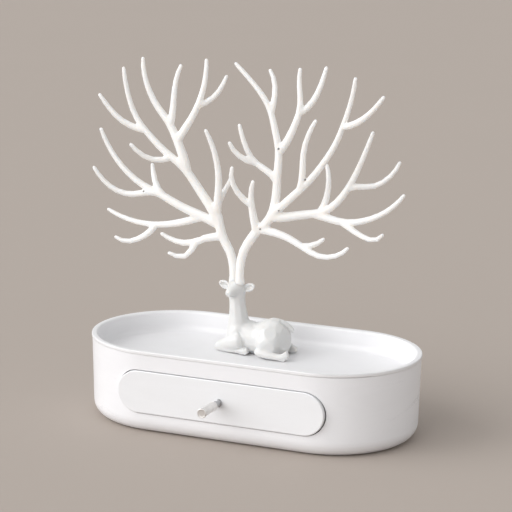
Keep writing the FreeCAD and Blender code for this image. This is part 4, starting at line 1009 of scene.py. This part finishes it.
def make_knob():
    """The drawer's knob: a bright stem on a round foot, and a satin grip, waisted between two rims."""
    waist = [(-77.9 - 17.2 * i / 24, 3.3 + 0.24 * abs(i / 12 - 1) ** 2.4) for i in range(25)]
    turned_piece("knob_grip_turned", [
        (-77.4, 0), (-77.4, 2.7), (-76.3, 2.75), (-76.02, 2.95), (-76, 3.1), (-76.05, 3.35), (-76.2, 3.52),
        (-76.45, 3.6), (-76.9, 3.6), (-77.1, 3.56), (-77.22, 3.4), (-77.5, 3.4), (-77.62, 3.5), *waist,
        (-95.38, 3.5), (-95.5, 3.4), (-95.78, 3.4), (-95.9, 3.56), (-96.1, 3.6), (-96.55, 3.6), (-96.8, 3.52),
        (-96.95, 3.35), (-97, 3.1), (-96.98, 2.9), (-96.8, 2.7), (-96.76, 2.0), (-96.74, 1.0), (-96.74, 0)],
        "knob_grip", knob_satin)
    turns = [i * math.pi / 12 for i in range(7)]
    cove = [(-68.1 - 0.7 * math.sin(turn), 3.1 - 0.5 * (1 - math.cos(turn))) for turn in turns]
    turned_piece("knob_stem_turned", [
        (-67, 0), (-67, 3.15), (-67.08, 3.2), (-67.8, 3.2), (-68.0, 3.17), *cove, (-70, 2.6), (-72, 2.6),
        (-74, 2.6), (-75.1, 2.6), (-75.2, 2.5), (-75.5, 2.5), (-75.6, 2.6), (-76.6, 2.6), (-77.3, 2.6),
        (-77.3, 0)], "knob_stem", knob_chrome)


def paint(finish, *names):
    """Gives the finish to solids that stay as they are."""
    for name in names:
        for place in nodes[name].material_slots:
            place.material = finish
        if not nodes[name].material_slots:
            nodes[name].data.materials.append(finish)


# Floor, light and the whole scene

def make_floor(colour=(0.456, 0.402, 0.3615), reach=9.0):
    """A plain floor with a faint cloud in its colour. It keeps the stand's shadow."""
    made, tree, surface, where = blank_finish("studio_floor")
    cloud = noise(tree, where, 3.0, 2.0, 0.5)
    shade = tuple(c * 0.985 for c in colour)
    feed(tree, tinted(tree, cloud, colour, shade), surface["Base Color"])
    feed(tree, 0.9, surface["Roughness"])
    feed(tree, 0.1, surface["Specular IOR Level"])
    mesh = bpy.data.meshes.new("studio_floor")
    corners = [(-reach, -reach, 0), (reach, -reach, 0), (reach, reach, 0), (-reach, reach, 0)]
    mesh.from_pydata(corners, [], [(0, 1, 2, 3)])
    mesh.materials.append(made)
    floor = bpy.data.objects.new("studio_floor", mesh)
    scene.collection.objects.link(floor)


def light_studio(level=0.63):
    """An even white room with two broad suns and a softbox, all on the left. A sun is (bearing, height,
    strength, spread)."""
    world = bpy.data.worlds.new("studio")
    scene.world = world
    world.use_nodes = True
    room = world.node_tree.nodes["Background"].inputs
    feed(world.node_tree, (1, 1, 1, 1), room["Color"])
    feed(world.node_tree, level, room["Strength"])
    make_sun("left_sun", -62, 30, 1.1, 50)
    make_sun("front_sun", -26, 22, 1.6, 70)
    make_softbox("left_softbox", -60, 38, 1.6, 0.5, 0.9, 4)


scene.view_settings.view_transform = "Standard"
make_camera()
make_floor()
light_studio()

paint(shell_plastic, "housing")
paint(tray_plastic, "tray")
paint(drawer_plastic, "drawer_front")
paint(guide_plastic, "drawer_box", "guide_left", "guide_right", "drawer_stop")

screw_tree, pad_tree, washer_tree = make_screw_tree(), make_pad_tree(), make_washer_tree()
for screws, body, way in (
        ("tray_screws", "stand", "+Z"), ("deer_screws", "stand", "+Z"), ("guide_screws", "stand", "-Z"),
        ("drawer_stop_screws", "stand", "-Z"), ("drawer_front_screws", "drawer", "-Y"),
        ("knob_screw", "drawer", "-Y")):
    make_screws(screws, body, way)
make_washers("deer_washers_rolled", "deer_washers", "stand", "+Z")
make_washers("knob_washer_rolled", "knob_washer", "drawer", "-Y")
make_pads("foot_pads_soft", "foot_pads", "+Z")
make_pads("rear_bumpers_soft", "rear_bumpers", "-Y")
make_knob()
make_antler("antler_left")
make_antler("antler_right")
make_deer()
